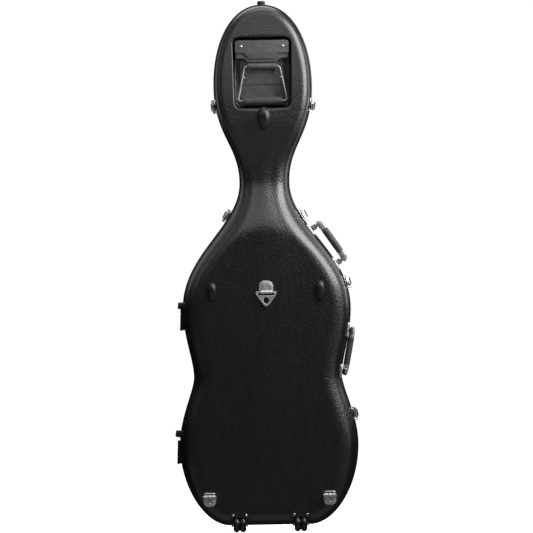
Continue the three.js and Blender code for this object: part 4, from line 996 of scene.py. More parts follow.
def make_pull_handle():
    top = RECESS_Z + RECESS_HEIGHT / 2
    face = face_y(BACK, 0, RECESS_Z)
    floor = face + RECESS_DEPTH - SEAT
    half = 71.0
    hood_top = top - 8
    front = face + 9

    def tabbed(end_drop, tab_drop, tab, slope, inset=0.0):
        z0, z1, z2 = hood_top - inset, hood_top - end_drop, hood_top - tab_drop
        w = half - inset
        corners = [(-w, z0), (-w, z1), (-tab - slope, z1), (-tab, z2), (tab, z2),
                   (tab + slope, z1), (w, z1), (w, z0)]
        return rounded(corners, [8, 2, 5, 5, 5, 5, 2, 8], 5)

    hood = Shape().slab(tabbed(33.5, 49, 34, 12), (front, front + 2.8), edge=0.9)
    hood.slab(tabbed(48, 58.4, 38, 10, 1.5), (front + 5, front + 9), edge=1.6)
    hood.box((-half + 4, half - 4), (front + 2, floor), (hood_top - 7, hood_top - 3))
    for way in (-1, 1):
        edge = way * (half - 5)
        hood.box(sorted((edge, edge - way * 3)), (front + 2, floor), (hood_top - 36, hood_top - 6))
    piece("pull_handle_hood", hood.mesh(), "back", "hood",
          ["pull_handle_cover"], bevel=0.5)
    screws("hood_screws", [((way * 55, front - 0.05, hood_top - 16), (0, -1, 0))
                           for way in (-1, 1)], 7.6)

    foot_z = RECESS_Z - RECESS_HEIGHT / 2 + 8
    base_top = top - 36
    plate_width, step_width, lip_width = 118, 112, 108
    barrel_radius, barrel_half, spine_half = 7.5, 38, 5.2
    base = Shape()
    plate = rounded(rectangle(plate_width, base_top - foot_z, 0, (base_top + foot_z) / 2), 5)
    base.slab(plate, (floor - 3, floor), edge=0.8)
    for level, share in ((6.9, 0.34), (5.5, 0.62)):
        z = base_top - share * (base_top - foot_z)
        step = rounded(rectangle(step_width, base_top - z, 0, (base_top + z) / 2), 4)
        base.slab(step, (floor - level, floor - 1), edge=0.9)
    low = rounded(rectangle(lip_width, 16, 0, 1140), 3)
    base.slab(low, (floor - 4.4, floor - 1), edge=0.8)
    base.rod("x", barrel_radius, -barrel_half, barrel_half, (0, PIVOT_Y, PIVOT_Z), 40, 1.0)
    base.box((-barrel_half, barrel_half), (PIVOT_Y, floor),
             (PIVOT_Z - spine_half, PIVOT_Z + spine_half))
    base.box((-35, -30), (floor - 8.5, floor - 4), (PIVOT_Z - 18, PIVOT_Z - 11))
    for way in (-1, 1):
        base.box(sorted((way * barrel_half, way * (barrel_half - 5))), (PIVOT_Y + 4, floor),
                 (PIVOT_Z - 12, PIVOT_Z + 6))
    piece("pull_handle_plate", base.mesh(), "back", "hood",
          ["pull_handle_base"], bevel=0.6)
    screws("plate_screws", [((way * 48, floor - 6.9, PIVOT_Z - 30), (0, -1, 0))
                            for way in (-1, 1)], 5.4)

    grip_z = PIVOT_Z - BAIL_DROP
    loop = rounded([(-46, PIVOT_Z), (46, PIVOT_Z), (65.5, grip_z), (-65.5, grip_z)],
                   [8, 8, 10, 10], 8)
    wire("pull_handle_wire", [(x, PIVOT_Y, z) for x, z in loop], 2.6, "pull_handle", "plating",
         ["pull_handle_bail"], closed=True, sides=24)
    grip = Shape()
    profile = [(2.9, -52), (7.4, -52), (8.6, -51.2), (9.2, -49.5), (9.4, -46), (10, -30),
               (10.1, 0)]
    profile += [(r, -h) for r, h in profile[-2::-1]]
    grip.turned([*profile, profile[0]], "x", 48, (0, PIVOT_Y, grip_z))
    piece("pull_handle_sleeve", grip.mesh(), "pull_handle", "grip",
          ["pull_handle_grip"])


# Feet and wheels

def rod_foot(name, matrix, node):
    foot = Shape().turned([(0, -3), (10.2, -3), (10.4, 1.2), (9.9, 2.4), (9.5, 3.4), (9.2, 9),
                           (8.9, 13.6), (8.3, 15.2), (7.2, 16), (3.2, 16), (2.9, 14.2), (0, 14.2)],
                          sides=48).placed(matrix)
    piece(name, foot.mesh(), "back", "rubber", [node])
    spot, outward = matrix @ Vector((0, 0, 14.1)), matrix.to_3x3() @ Vector((0, 0, 1))
    screws(name + "_screw", [(spot, outward)], 5.2)


def make_feet():
    for name, z in FEET:
        rod_foot("side_foot_" + name + "_rubber",
                 rim_frame(z, LEFT) @ Matrix.Translation((0, -84, 0)), "side_foot_" + name)
    top = Shape().turned([(0, -4), (10.2, -4), (10.2, 8.9), (9.9, 10.2), (8.9, 11), (0, 11)],
                         sides=48, at=(0, RIM_Y - 34, STATIONS[-1][1]))
    piece("top_foot_rubber", top.mesh(), "back", "rubber", ["top_foot"])
    bar_length, bar_width = 191.6, 26
    arch_width, arch_height = 130.4, 33
    bar = Shape()
    rings = []
    for shrink, z in ((2.2, 0.0), (0.6, 0.7), (0, 2.2), (0, 24)):
        plan = rectangle(bar_length - shrink * 2, bar_width - shrink * 2)
        loop = np.array(rounded(plan, 12.5 - shrink, 10))
        rings.append(np.column_stack([loop[:, 0], loop[:, 1] + RIM_Y + 74, 0 * loop[:, 0] + z]))
    bar.loft(rings)
    arch = Shape().slab(rounded(rectangle(arch_width, arch_height, 0, 0.2), 3),
                        (RIM_Y + 50, RIM_Y + 100), edge=0.01)
    mesh = cut(cut(bar.mesh(), arch.mesh()),
               half_form(LID, -0.05, -6, 8, 6))
    piece("front_foot_rubber", mesh, "lid", "rubber", ["front_foot"])


def make_wheels():
    face = BACK_Y - SEAT
    plate_width, plate_height, plate_z, plate_wall = 54, 41.2, 33.4, 3.0
    slot_half, slot_top = 18.2, 38.6
    cheek_x, cheek_half, arm_radius = 19.3, 1.4, 5.6
    pin_radius, pin_half = 3, 20.6
    for name, side in (("left", LEFT), ("right", RIGHT)):
        x = side * WHEEL_X
        outline = rounded(rectangle(plate_width, plate_height, x, plate_z), [5, 5, 8, 8], 6)
        column = Shape().slab(outline, (BACK_Y - 8, BACK_Y + 34), edge=0.01).mesh()
        pad = half_form(BACK, -plate_wall, -6, 14, 8)
        inner = half_form(BACK, -0.1, -7, 14, 8)
        slot = Shape().box((x - slot_half, x + slot_half), (BACK_Y - 9, BACK_Y + 22),
                           (0, slot_top)).mesh()
        shell = cut(cut(cut(pad, column, "INTERSECT"), inner), slot)
        piece("wheel_bracket_" + name + "_plate", shell, "back", "steel",
              ["wheel_bracket_" + name], bevel=1.1)
        cheeks = Shape()
        for way in (-1, 1):
            mid = x + way * cheek_x
            arm = [(AXLE_Y + arm_radius * math.cos(a), AXLE_Z + arm_radius * math.sin(a))
                   for a in np.linspace(-math.pi, 0, 17)]
            profile = arm + [(AXLE_Y + arm_radius, 40), (face - 1.6, 40),
                             (face - 1.6, AXLE_Z + 8)]
            rings = [np.array([(mid + off, a, b) for a, b in profile])
                     for off in (-cheek_half, cheek_half)]
            cheeks.loft(rings)
            cheeks.turned([(4.2, 1.2), (4.2, 1.8), (3.6, 2.3), (0, 2.3)] if way > 0 else
                          [(0, -2.3), (3.6, -2.3), (4.2, -1.8), (4.2, -1.2)], "x", 32,
                          (mid, AXLE_Y, AXLE_Z))
        piece("wheel_cheeks_" + name, cheeks.mesh(), "back", "steel",
              bevel=0.5)
        screws("bracket_screws_" + name,
               [((x + way * 17.2, face - 2.9, 44.5), (0, -1, 0)) for way in (-1, 1)], 7.0)
        axle = Shape().rod("x", pin_radius, -pin_half, pin_half, (x, AXLE_Y, AXLE_Z), 32, 0.5)
        piece("wheel_pin_" + name, axle.mesh(), "back", "chrome",
              ["wheel_axle_" + name])
        lobe = [(3.3, 16.9), (6.5, 17), (7.0, 16.2), (10.4, 16.0), (11.4, 16.9), (12.6, 16.9),
                (15.0, 15.6), (17.6, 13.6), (19.2, 11.8), (19.9, 10), (20, 8.6), (19.7, 6.9),
                (18.7, 5.0), (16.9, 2.9), (15.0, 1.2), (14.2, 0)]
        profile = lobe + [(r, -h) for r, h in lobe[-2::-1]]
        tyre = Shape().turned([*profile, profile[0]], "x", 72, (x, AXLE_Y, AXLE_Z))
        piece("wheel_tyre_" + name, tyre.mesh(), name + "_wheel", "tyre",
              ["wheel_" + name], corner=40)


# Strap fittings

def make_strap_fittings():
    barrel, crown, lower_bout = 4.4, 3, STATIONS[1][0] * 2
    for name, x, z in STRAP_PLATES:
        centre = name == "centre"
        up = 1 if centre else -1
        rise = crown if centre else crown * (1 - 2 * abs(x) / lower_bout)
        axis_y = face_y(BACK, x, z) - rise - SEAT - barrel
        matrix = Matrix.Translation((x, axis_y, z))
        wide, tall = (18.8, 30.5) if centre else (16.5, 26.0)
        corners = [(-wide, 0), (wide, 0), (wide, tall), (-wide, tall)]
        plate = [(a, b * up) for a, b in rounded(corners, [0.5, 0.5, wide * 0.9, wide * 0.9], 9)]
        shape = Shape().slab(plate, (2.4, 5.2), edge=0.7)
        ridge = [(a * 0.78, 2.6 * up + b * 0.8 * up)
                 for a, b in rounded(corners, [4, 4, wide * 0.8, wide * 0.8], 9)]
        shape.slab(ridge, (1.9, 3.4), edge=0.7)
        for low, high in ((-14.5, -5), (-4.4, 4.4), (5, 14.5)):
            shape.rod("x", barrel, low, high, sides=32, edge=0.6)
        shape.box((-14.5, 14.5), (-0.5, 4.6), sorted((0, 6.0 * up)))
        piece("strap_base_" + name, shape.placed(matrix).mesh(), "back", "nickel",
              ["strap_plate_" + name], bevel=0.3)
        sink = 3.9 if centre else 2.6
        places = [((x + a, axis_y + sink, z + b * up), (0, -1, 0))
                  for a, b in ((-wide * 0.46, 11.0), (wide * 0.46, 11.0), (0, tall * 0.76))]
        screws("strap_screws_" + name, places, 7.0 if centre else 6.2)
        body = name + "_ring"
        if centre:
            half = 27.5
            corners = [(-half, 1.8), (half, 1.8), (half, -6), (0, -43), (-half, -6)]
            outline = rounded(corners, [2.4, 2.4, 5, 14, 5], 8)
            slot = rounded(rectangle(43, 5.8, 0, -5.6), 1.2)
            hole = [(7.9 * math.cos(t) * (1 - 0.18 * max(0, -math.sin(t))),
                     -21.5 + 7.9 * math.sin(t) * (1.16 if math.sin(t) < 0 else 1.0))
                    for t in full_turn(40)]
            ring = Shape().slab(outline, (-1.6, 1.6), [slot, hole], edge=0.9)
            piece("strap_shield", ring.placed(matrix).mesh(), body, "nickel",
                  ["strap_ring_centre"], corner=50)
        else:
            lift = math.radians(-110)
            route = rounded([(-20, 0), (20, 0), (13.5, -27), (-13.5, -27)], 5, 7)
            points = [(x + a, axis_y - b * math.sin(lift), z + b * math.cos(lift))
                      for a, b in route]
            wire("strap_loop_" + name, points, 1.9, body, "chrome",
                 ["strap_ring_" + name], closed=True, sides=20)


# Hinges

def hinge_frames():
    offset = RIM_WALL + SEAT * 2 + KNUCKLE
    low = Vector((-234 - offset, RIM_Y, 228))
    high = Vector((-220 - offset, RIM_Y, 589))
    run = (high - low).normalized()
    out = Vector((-run.z, 0, run.x))
    lid_way = Vector((0, 1, 0))
    across = lid_way.cross(out)
    turn = Matrix((across, lid_way, out)).transposed().to_4x4()
    return (("upper", Matrix.Translation(high - run * 24) @ turn),
            ("lower", Matrix.Translation(low - run * 16) @ turn))


def make_hinges():
    for name, matrix in hinge_frames():
        for side, label, body in ((-1, "back", "back"), (1, "lid", "lid")):
            near, far = sorted((side * 0.45, side * 12.5))
            leaf = [(-HINGE_HALF, near), (HINGE_HALF, near), (HINGE_HALF, far),
                    (-HINGE_HALF, far)]
            radii = [4, 4, 0.5, 0.5] if side < 0 else [0.5, 0.5, 4, 4]
            shape = Shape().slab(rounded(leaf, radii, 5), (-1.2, 0), edge=0.35)
            shape.points = [np.column_stack([p[:, 0], p[:, 2], -KNUCKLE - p[:, 1]])
                            for p in shape.points]
            if side < 0:
                for low, high in ((-HINGE_HALF, -12.5), (12.5, HINGE_HALF)):
                    shape.rod("x", KNUCKLE, low, high, sides=32, edge=0.4)
                    shape.box((low, high), (-3.1, 0), (-KNUCKLE, -1.8))
                shape.rod("x", HINGE_PIN, -31.8, 31.8, sides=24, edge=0.4)
            else:
                shape.rod("x", KNUCKLE, -11.7, 11.7, sides=32, edge=0.4)
                shape.box((-11.7, 11.7), (0, 3.1), (-KNUCKLE, -1.8))
            rings = []
            for a in np.linspace(-30, 30, 13):
                wall = min(float(wall_height(matrix, a)) + 1.7, -3.4)
                rings.append(np.array([(a, near + 0.2, wall), (a, far - 0.8, wall),
                                       (a, far - 0.8, -2.6), (a, near + 0.2, -2.6)]))
            shape.loft(rings)
            piece(f"hinge_{name}_{label}_half", shape.placed(matrix).mesh(), body,
                  "steel", [f"hinge_{name}_{label}_leaf"], bevel=0.3)
            turn = matrix.to_3x3()
            places = [(matrix @ Vector((a, side * 8.0, -2.1)), turn @ Vector((0, 0, 1)))
                      for a in (-23, 0, 23)]
            heads(f"hinge_{name}_{label}_rivets", "rivet", places, RIVET_WIDTH, body, "steel")


# Latches

def make_latches():
    for name, z, side in LATCHES:
        matrix = rim_frame(z, side)
        turn = matrix.to_3x3()

        def laid(shape):
            """Plates drawn in XZ are laid on the rim, their thickness outwards."""
            shape.points = [np.column_stack([p[:, 0], p[:, 2], p[:, 1]]) for p in shape.points]
            return shape

        foot = laid(Shape().slab(rounded([(-18, -48), (18, -48), (18, -31), (-18, -31)],
                                         [5, 5, 3, 3], 5), (-0.3, 2.2), edge=0.7))
        arch = [(-35.9, 0.6), (-35.9, 8.6), (-37, 11), (-39.5, 12.2), (-42, 11), (-43.1, 8.6),
                (-46.5, 0.6)]
        for low, high in ((-17.8, -14.85), (14.85, 17.8)):
            rings = [np.array([(a, b, c) for b, c in arch]) for a in (low, high)]
            foot.loft(rings)
        foot.rod("x", 1.8, -18.6, 18.6, LATCH_PIN, 24, 0.4)
        piece(f"latch_{name}_foot", foot.placed(matrix).mesh(), "back", "chrome",
              [f"latch_{name}_base"], bevel=0.35)
        places = [(matrix @ Vector((a, -45.2, 2.1)), turn @ Vector((0, 0, 1))) for a in (-12, 12)]
        heads(f"latch_{name}_rivets", "rivet", places, RIVET_WIDTH, "back", "chrome")

        lever = Shape()
        spine = [(-39.5, 12.6, 14.5), (-33, 12.4, 14.5), (-20, 12.0, 14.3), (-4, 12.2, 13.6),
                 (10, 12.1, 12.6), (19, 12.0, 11.6), (22.5, 12.9, 11.2), (27.2, 15.0, 10.2),
                 (29.2, 15.9, 9.0)]
        rings = []
        for y, top, half in spine:
            edge = min(1.0, half * 0.3)
            section = [(-half, top - 2.6), (-half + 0.3, top - 3.0), (half - 0.3, top - 3.0),
                       (half, top - 2.6), (half, top - edge),
                       (half - edge * 0.4, top - edge * 0.3), (half - edge, top),
                       (0, top + 0.35), (-half + edge, top),
                       (-half + edge * 0.4, top - edge * 0.3), (-half, top - edge)]
            rings.append(np.array([(a, y, c) for a, c in section]))
        lever.loft(rings)
        lever.box((-11.4, 11.4), (18.15, 20.7), (4.3, 10.2))
        piece(f"latch_{name}_arm", lever.placed(matrix).mesh(), f"latch_{name}_lever",
              "trim", [f"latch_{name}_lever"], bevel=0.3)
        link = Shape().box((-12.6, 12.6), (-36.5, 13.6), (4.6, 9.2))
        link.turned([(2.0, -14.5), (3.7, -14.5), (3.9, -14.2), (3.9, 14.2), (3.7, 14.5),
                     (2.0, 14.5), (2.0, -14.5)], "x", 32, LATCH_PIN)
        piece(f"latch_{name}_link", link.placed(matrix).mesh(), f"latch_{name}_lever",
              "chrome", bevel=0.4)

        outline = rounded([(-13.5, 13.3), (13.5, 13.3), (13.5, 29.3), (-13.5, 29.3)],
                          [1, 1, 5, 5], 5)
        catch = laid(Shape().slab(outline, (-0.3, 2.0), edge=0.6))
        catch.box((-11.2, 11.2), (14.9, 17.6), (1.0, 7.4))
        piece(f"latch_{name}_catch", catch.placed(matrix).mesh(), "lid", "chrome",
              [f"latch_{name}_keeper"], bevel=0.5)
        places = [(matrix @ Vector((a, 24.4, 1.9)), turn @ Vector((0, 0, 1))) for a in (-8.5, 8.5)]
        heads(f"latch_{name}_catch_rivets", "rivet", places, RIVET_WIDTH, "lid", "chrome")


# Carrying handles

def make_handles():
    mid_y, pivot, foot, draft = -25.95, 11.5, 56.0, 26 * WALL_DRAFT
    for name, z, angle in HANDLES:
        matrix = rim_frame(z, RIGHT)
        turn = matrix.to_3x3()
        wall = [float(wall_height(matrix, way * foot)) - draft for way in (-1, 1)]
        mount, posts = Shape(), Shape()
        for way, level in zip((-1, 1), wall):
            rings = []
            for a in (-19, -18.4, -17, -14, *np.linspace(-10, 10, 5), 14, 17, 18.4, 19):
                place = way * foot + a
                half = 12.5 - (5 - math.sqrt(max(0, 25 - max(0, abs(a) - 14) ** 2)))
                h = float(wall_height(matrix, place)) - draft
                section = [(-half, -1.2), (half, -1.2), (half, 1.6), (half - 0.9, 2.5),
                           (0.9 - half, 2.5), (-half, 1.6)]
                rings.append(np.array([(place, mid_y + b, h + c) for b, c in section]))
            mount.loft(rings)
            stack = min(level + 5.0, 3.0)
            posts.box((way * foot - 6.4, way * foot + 6.4), (mid_y - 6.4, mid_y + 6.4),
                      (stack, 6.7))
            for low, high in ((-6.7, -4.5), (4.5, 6.7)):
                cheek = [(-6.5, 4.0), (-6.5, 11.6), (-5.2, 13.9), (-2.8, 14.9), (2.8, 14.9),
                         (5.2, 13.9), (6.5, 11.6), (6.5, 4.0)]
                posts.loft([np.array([(way * foot + a, mid_y + b, c) for b, c in cheek])
                            for a in (low, high)])
            for rise in (3.6, 6.4, 9.2):
                for edge in (-1, 1):
                    posts.box(sorted((way * foot + edge * 6.3, way * foot + edge * 7.1)),
                              (mid_y - 6.1, mid_y + 6.1), (rise, rise + 1.4))
            for rise in np.arange(level + 2.4, stack + 0.4, 1.7):
                mount.box((way * foot - 5.6, way * foot + 5.6), (mid_y - 6.9, mid_y + 6.9),
                          (rise - 0.5, rise + 0.5))
            mount.box((way * foot - 4.9, way * foot + 4.9), (mid_y - 6.0, mid_y + 6.0),
                      (level - 0.6, stack + 0.6))
            mount.rod("x", 2.0, way * foot - 7.5, way * foot + 7.5, (0, mid_y, pivot), 24, 0.5)
        piece(f"{name}_handle_plates", mount.placed(matrix).mesh(), "back", "nickel",
              bevel=0.3)
        piece(f"{name}_handle_posts", posts.placed(matrix).mesh(), "back", "trim",
              [f"{name}_handle_mount"], bevel=0.5)
        places = []
        for way in (-1, 1):
            for a in (-13.5, 13.5):
                spot = way * foot + a
                height = float(wall_height(matrix, spot)) - draft + 2.4
                places.append((matrix @ Vector((spot, mid_y, height)),
                               turn @ Vector((0, 0, 1))))
        heads(f"{name}_handle_rivets", "rivet", places, 5.6, "back", "chrome")

        swing = (matrix @ Matrix.Translation((0, mid_y, pivot))
                 @ Matrix.Rotation(math.radians(angle), 4, "X"))
        elbows, grip_half, reach = Shape(), 38.0, 16.4
        for way in (-1, 1):
            route = [(foot, -4.0, 3.2, 3.4), (foot, -3.4, 5.6, 3.9), (foot, -2.0, 7.6, 4.1),
                     (foot, 0, 8.4, 4.1), (foot, 7.3, 8.0, 4.1), (foot - 0.2, 8.3, 10.4, 8.8)]
            bend = 7.9
            for t in np.linspace(0, math.pi / 2, 8):
                route.append((foot - 0.3 - bend * (1 - math.cos(t)),
                              reach - bend + bend * math.sin(t),
                              12.0 + t * 2.4, 9.7 - t * 0.4))
            route.append((grip_half - 1.5, reach, 16.0, 8.9))
            rings = []
            for i, (a, c, wide, thick) in enumerate(route):
                before, after = route[max(i - 1, 0)], route[min(i + 1, len(route) - 1)]
                run = np.array([after[0] - before[0], after[1] - before[1]], float)
                run /= np.linalg.norm(run)
                side_way = np.array([run[1], -run[0]])
                around = full_turn(28)
                cu = np.sign(np.cos(around)) * np.abs(np.cos(around)) ** 0.62 * thick
                cv = np.sign(np.sin(around)) * np.abs(np.sin(around)) ** 0.62 * wide / 2
                rings.append(np.column_stack([way * (a + side_way[0] * cu), cv,
                                              c + side_way[1] * cu]))
            elbows.loft(rings)
        piece(f"{name}_handle_elbows", elbows.placed(swing).mesh(), f"{name}_handle",
              "plating", [f"{name}_handle_bow"], corner=50)
        profile = [(4, -38.5), (7.8, -38.5), (8.5, -38.1), (8.8, -37.2), (9.0, -30), (9.1, 0)]
        profile += [(r, -h) for r, h in profile[-2::-1]]
        grip = Shape().turned(profile, "x", 40, (0, 0, reach))
        for points in grip.points:
            points[:, 1] *= 0.95
        piece(f"{name}_handle_sleeve", grip.placed(swing).mesh(), f"{name}_handle",
              "grip", [f"{name}_handle_grip"])
        ribs = bpy.data.meshes.new("ribs")
        ribs.from_pydata([(0, 0, 0)], [], [])
        made = grown("ribs", ribs, Count=15, Spacing=0.0043, Radius=0.00895, Wire=0.0005,
                     Material=finishes()["grip"])
        lay = (swing @ Matrix.Translation((-30.1, 0, reach))
               @ Matrix.Rotation(math.pi / 2, 4, "Y"))
        lay.translation = lay.translation / 1000
        made.transform(lay @ Matrix.Diagonal((1, 0.95, 1, 1)))
        piece(f"{name}_handle_ribs", made, f"{name}_handle", "grip")


# Padded inside

def swollen(mesh, voxel, pressure, cap):
    holder = linked("pad", mesh)
    remesh = holder.modifiers.new("even", "REMESH")
    remesh.mode = "VOXEL"
    remesh.voxel_size = voxel / 1000
    mesh = baked(holder)
    start = np.array([v.co for v in mesh.vertices])
    holder = linked("pad", mesh)
    cloth = holder.modifiers.new("puff", "CLOTH")
    cloth.settings.use_pressure = True
    cloth.settings.uniform_pressure_force = pressure
    cloth.settings.effector_weights.gravity = 0
    cloth.settings.quality = 5
    cloth.settings.mass = 0.3
    cloth.collision_settings.use_collision = False
    cloth.point_cache.frame_start, cloth.point_cache.frame_end = 1, 20
    scene = bpy.context.scene
    for moment in range(1, 21):
        scene.frame_set(moment)
    mesh = baked(holder)
    scene.frame_set(1)
    place = np.array([v.co for v in mesh.vertices])
    way = place - start
    far = np.linalg.norm(way, axis=1)[:, None]
    place = start + way * np.minimum(1, cap / 1000 / np.maximum(far, 1e-9))
    mesh.vertices.foreach_set("co", place.ravel())
    holder = linked("pad", mesh)
    smooth = holder.modifiers.new("smooth", "SMOOTH")
    smooth.iterations = 3
    fine = holder.modifiers.new("fine", "SUBSURF")
    fine.levels = fine.render_levels = 1
    return baked(holder)


def lid_inside(x, z):
    """Y of the lid lining's bare face."""
    return surface_y(LID, x, z, LINING_SKIN + LINING_THICK)


def make_neck_rest():
    z = STRAP_Z
    back = face_y(BACK, 0, z) + 10.6
    profile = rounded([(-56, back), (56, back), (56, 8.0), (23.5, 8.0), (20, -25.4), (-20, -25.4),
                       (-23.5, 8.0), (-56, 8.0)], [4, 4, 9, 5, 12, 12, 5, 9], 6)
    rings = [np.array([(a, b, z + c) for a, b in profile]) for c in
             np.linspace(-25.5, 25.5, 9)]
    inside = half_form(BACK, LINING_SKIN + LINING_THICK + 0.2, -20, 8, 14)
    mesh = cut(Shape().loft(rings).mesh(), inside, "INTERSECT")
    pad = swollen(mesh, 3.6, 3.0, 3)
    piece("neck_rest_pad", pad, "back", "plush", ["neck_cradle"], corner=60)
    band = []
    for a in np.linspace(-47.5, 47.5, 41):
        sag = 1.6 * math.cos(a / 24 * math.pi / 2) if abs(a) < 24 else 0
        band.append((a, STRAP_Y - sag))
    strap = Shape()
    top = [(a, b + 0.8) for a, b in band]
    low = [(a, b - 0.8) for a, b in band[::-1]]
    section = top + low
    rings = [np.array([(a, b, z + c) for a, b in section]) for c in
             (-18.6, -18.2, *np.linspace(-17, 17, 9), 18.2, 18.6)]
    for ring in (rings[0], rings[-1]):
        ring[:, 1] = STRAP_Y + (ring[:, 1] - STRAP_Y) * 0.5
    strap.loft(rings)
    piece("neck_strap_band", strap.mesh(), "back", "webbing", ["neck_strap"])
    for label, edge in (("left", -43), ("right", 43)):
        path = [(x, 11.3, z + rise) for x, rise in rectangle(6, 30, edge)]
        stitches("neck_strap_stitches_" + label, path, "back", closed=True)


def make_bow_holders():
    for name, side in (("left", LEFT), ("right", RIGHT)):
        x, z = side * 95.0, 178.0
        floor = lid_inside(x, z)
        cap_y = floor - 19
        stem = [(3, floor + 4), (7.5, floor + 4), (7.5, floor - 1), (6.9, floor - 1.8),
                (4.5, floor - 3.2), (4.5, cap_y + 2), (3, cap_y + 2)]
        post = Shape().turned(stem, "y", 32, (x, 0, z))
        cap = rounded(rectangle(16.6, 53.6, x, z), 8.0, 8)
        post.slab(cap, (cap_y - 7, cap_y), edge=2.0)
        ridge = rounded(rectangle(5, 34, x, z), 2.4, 6)
        post.slab(ridge, (cap_y - 8.0, cap_y - 5), edge=0.9)
        piece("bow_turn_" + name, post.mesh(), name + "_bow_button", "trim",
              ["bow_button_" + name])
    z = BOW_TIP_Z

    def sleeve_ring(share_z, high):
        zz = z + share_z * 27
        xs = np.linspace(-64, 64, 33)
        base = np.array([lid_inside(a, zz) for a in xs])
        puff = []
        for a in xs:
            local = min(abs(abs(a) - BOW_TIP_X) / 15.5, 1)
            puff.append(max(0.16, math.sqrt(1 - local ** 2)))
        puff = np.array(puff)
        top = base - 0.4 - puff * high
        return np.concatenate([np.column_stack([xs, base - 0.4, 0 * xs + zz]),
                               np.column_stack([xs, top, 0 * xs + zz])[::-1]])

    heights = (13.5, 15.5, 16.3, *[16.6] * 7, 16.3, 15, 12)
    rings = [sleeve_ring(s, h) for s, h in zip(np.linspace(-1, 1, len(heights)), heights)]
    body = Shape().loft(rings).mesh()
    for way in (-1, 1):
        hole = []
        for zz, grow in ((z - 30, 0.8), (z - 26, 0.0), (z, -1.5), (z + 19, -3.5), (z + 23, -5.5)):
            turn = full_turn(32)
            mid = lid_inside(way * BOW_TIP_X, zz) - 8.2
            hole.append(np.column_stack([way * BOW_TIP_X + (12.6 + grow) * np.cos(turn),
                                         mid + (6.2 + grow * 0.6) * np.sin(turn), 0 * turn + zz]))
        body = cut(body, Shape().loft(hole).mesh())
    piece("bow_tip_sleeve", body, "lid", "plush", ["bow_tip_pocket"], corner=50)


def make_pouch():
    z0, width, height, deep = 1188.0, 132.0, 144.0, 20.0
    outline = np.array(rounded(rectangle(width, height, 0, z0), 20, 8))
    rings = []
    for share, rise in ((0.9, 0.6), (0.985, 1.6), (1.0, 4), (1.0, deep * 0.55),
                        (0.985, deep * 0.8), (0.94, deep * 0.96), (0.85, deep),
                        (0.5, deep * 1.02), (0.12, deep * 1.02)):
        loop = (outline - (0, z0)) * share + (0, z0)
        base = lid_inside(loop[:, 0], loop[:, 1])
        rings.append(np.column_stack([loop[:, 0], base - rise - 0.4, loop[:, 1]]))
    mesh = swollen(Shape().loft(rings).mesh(), 4.2, 3.0, 4)
    piece("accessory_pouch_body", mesh, "lid", "cloth", ["accessory_pouch"],
          corner=60)
    hem = []
    for a, b in rounded(rectangle(width - 22, 64, 0, z0 + 32), 9, 6):
        hem.append((a, float(lid_inside(a, b)) - deep - 2.6, b))
    stitches("pouch_flap_stitches", hem, "lid", closed=True)


def make_lining_seams():
    """Stitched seams that follow the padding just inside its edge."""
    for name, side in (("back", BACK), ("lid", LID)):
        seam = rim_rings([(LINING_SKIN + 6.2, 13.4)], side)[0]
        stitches(name + "_padding_stitches", seam, name, closed=True)


# Stage

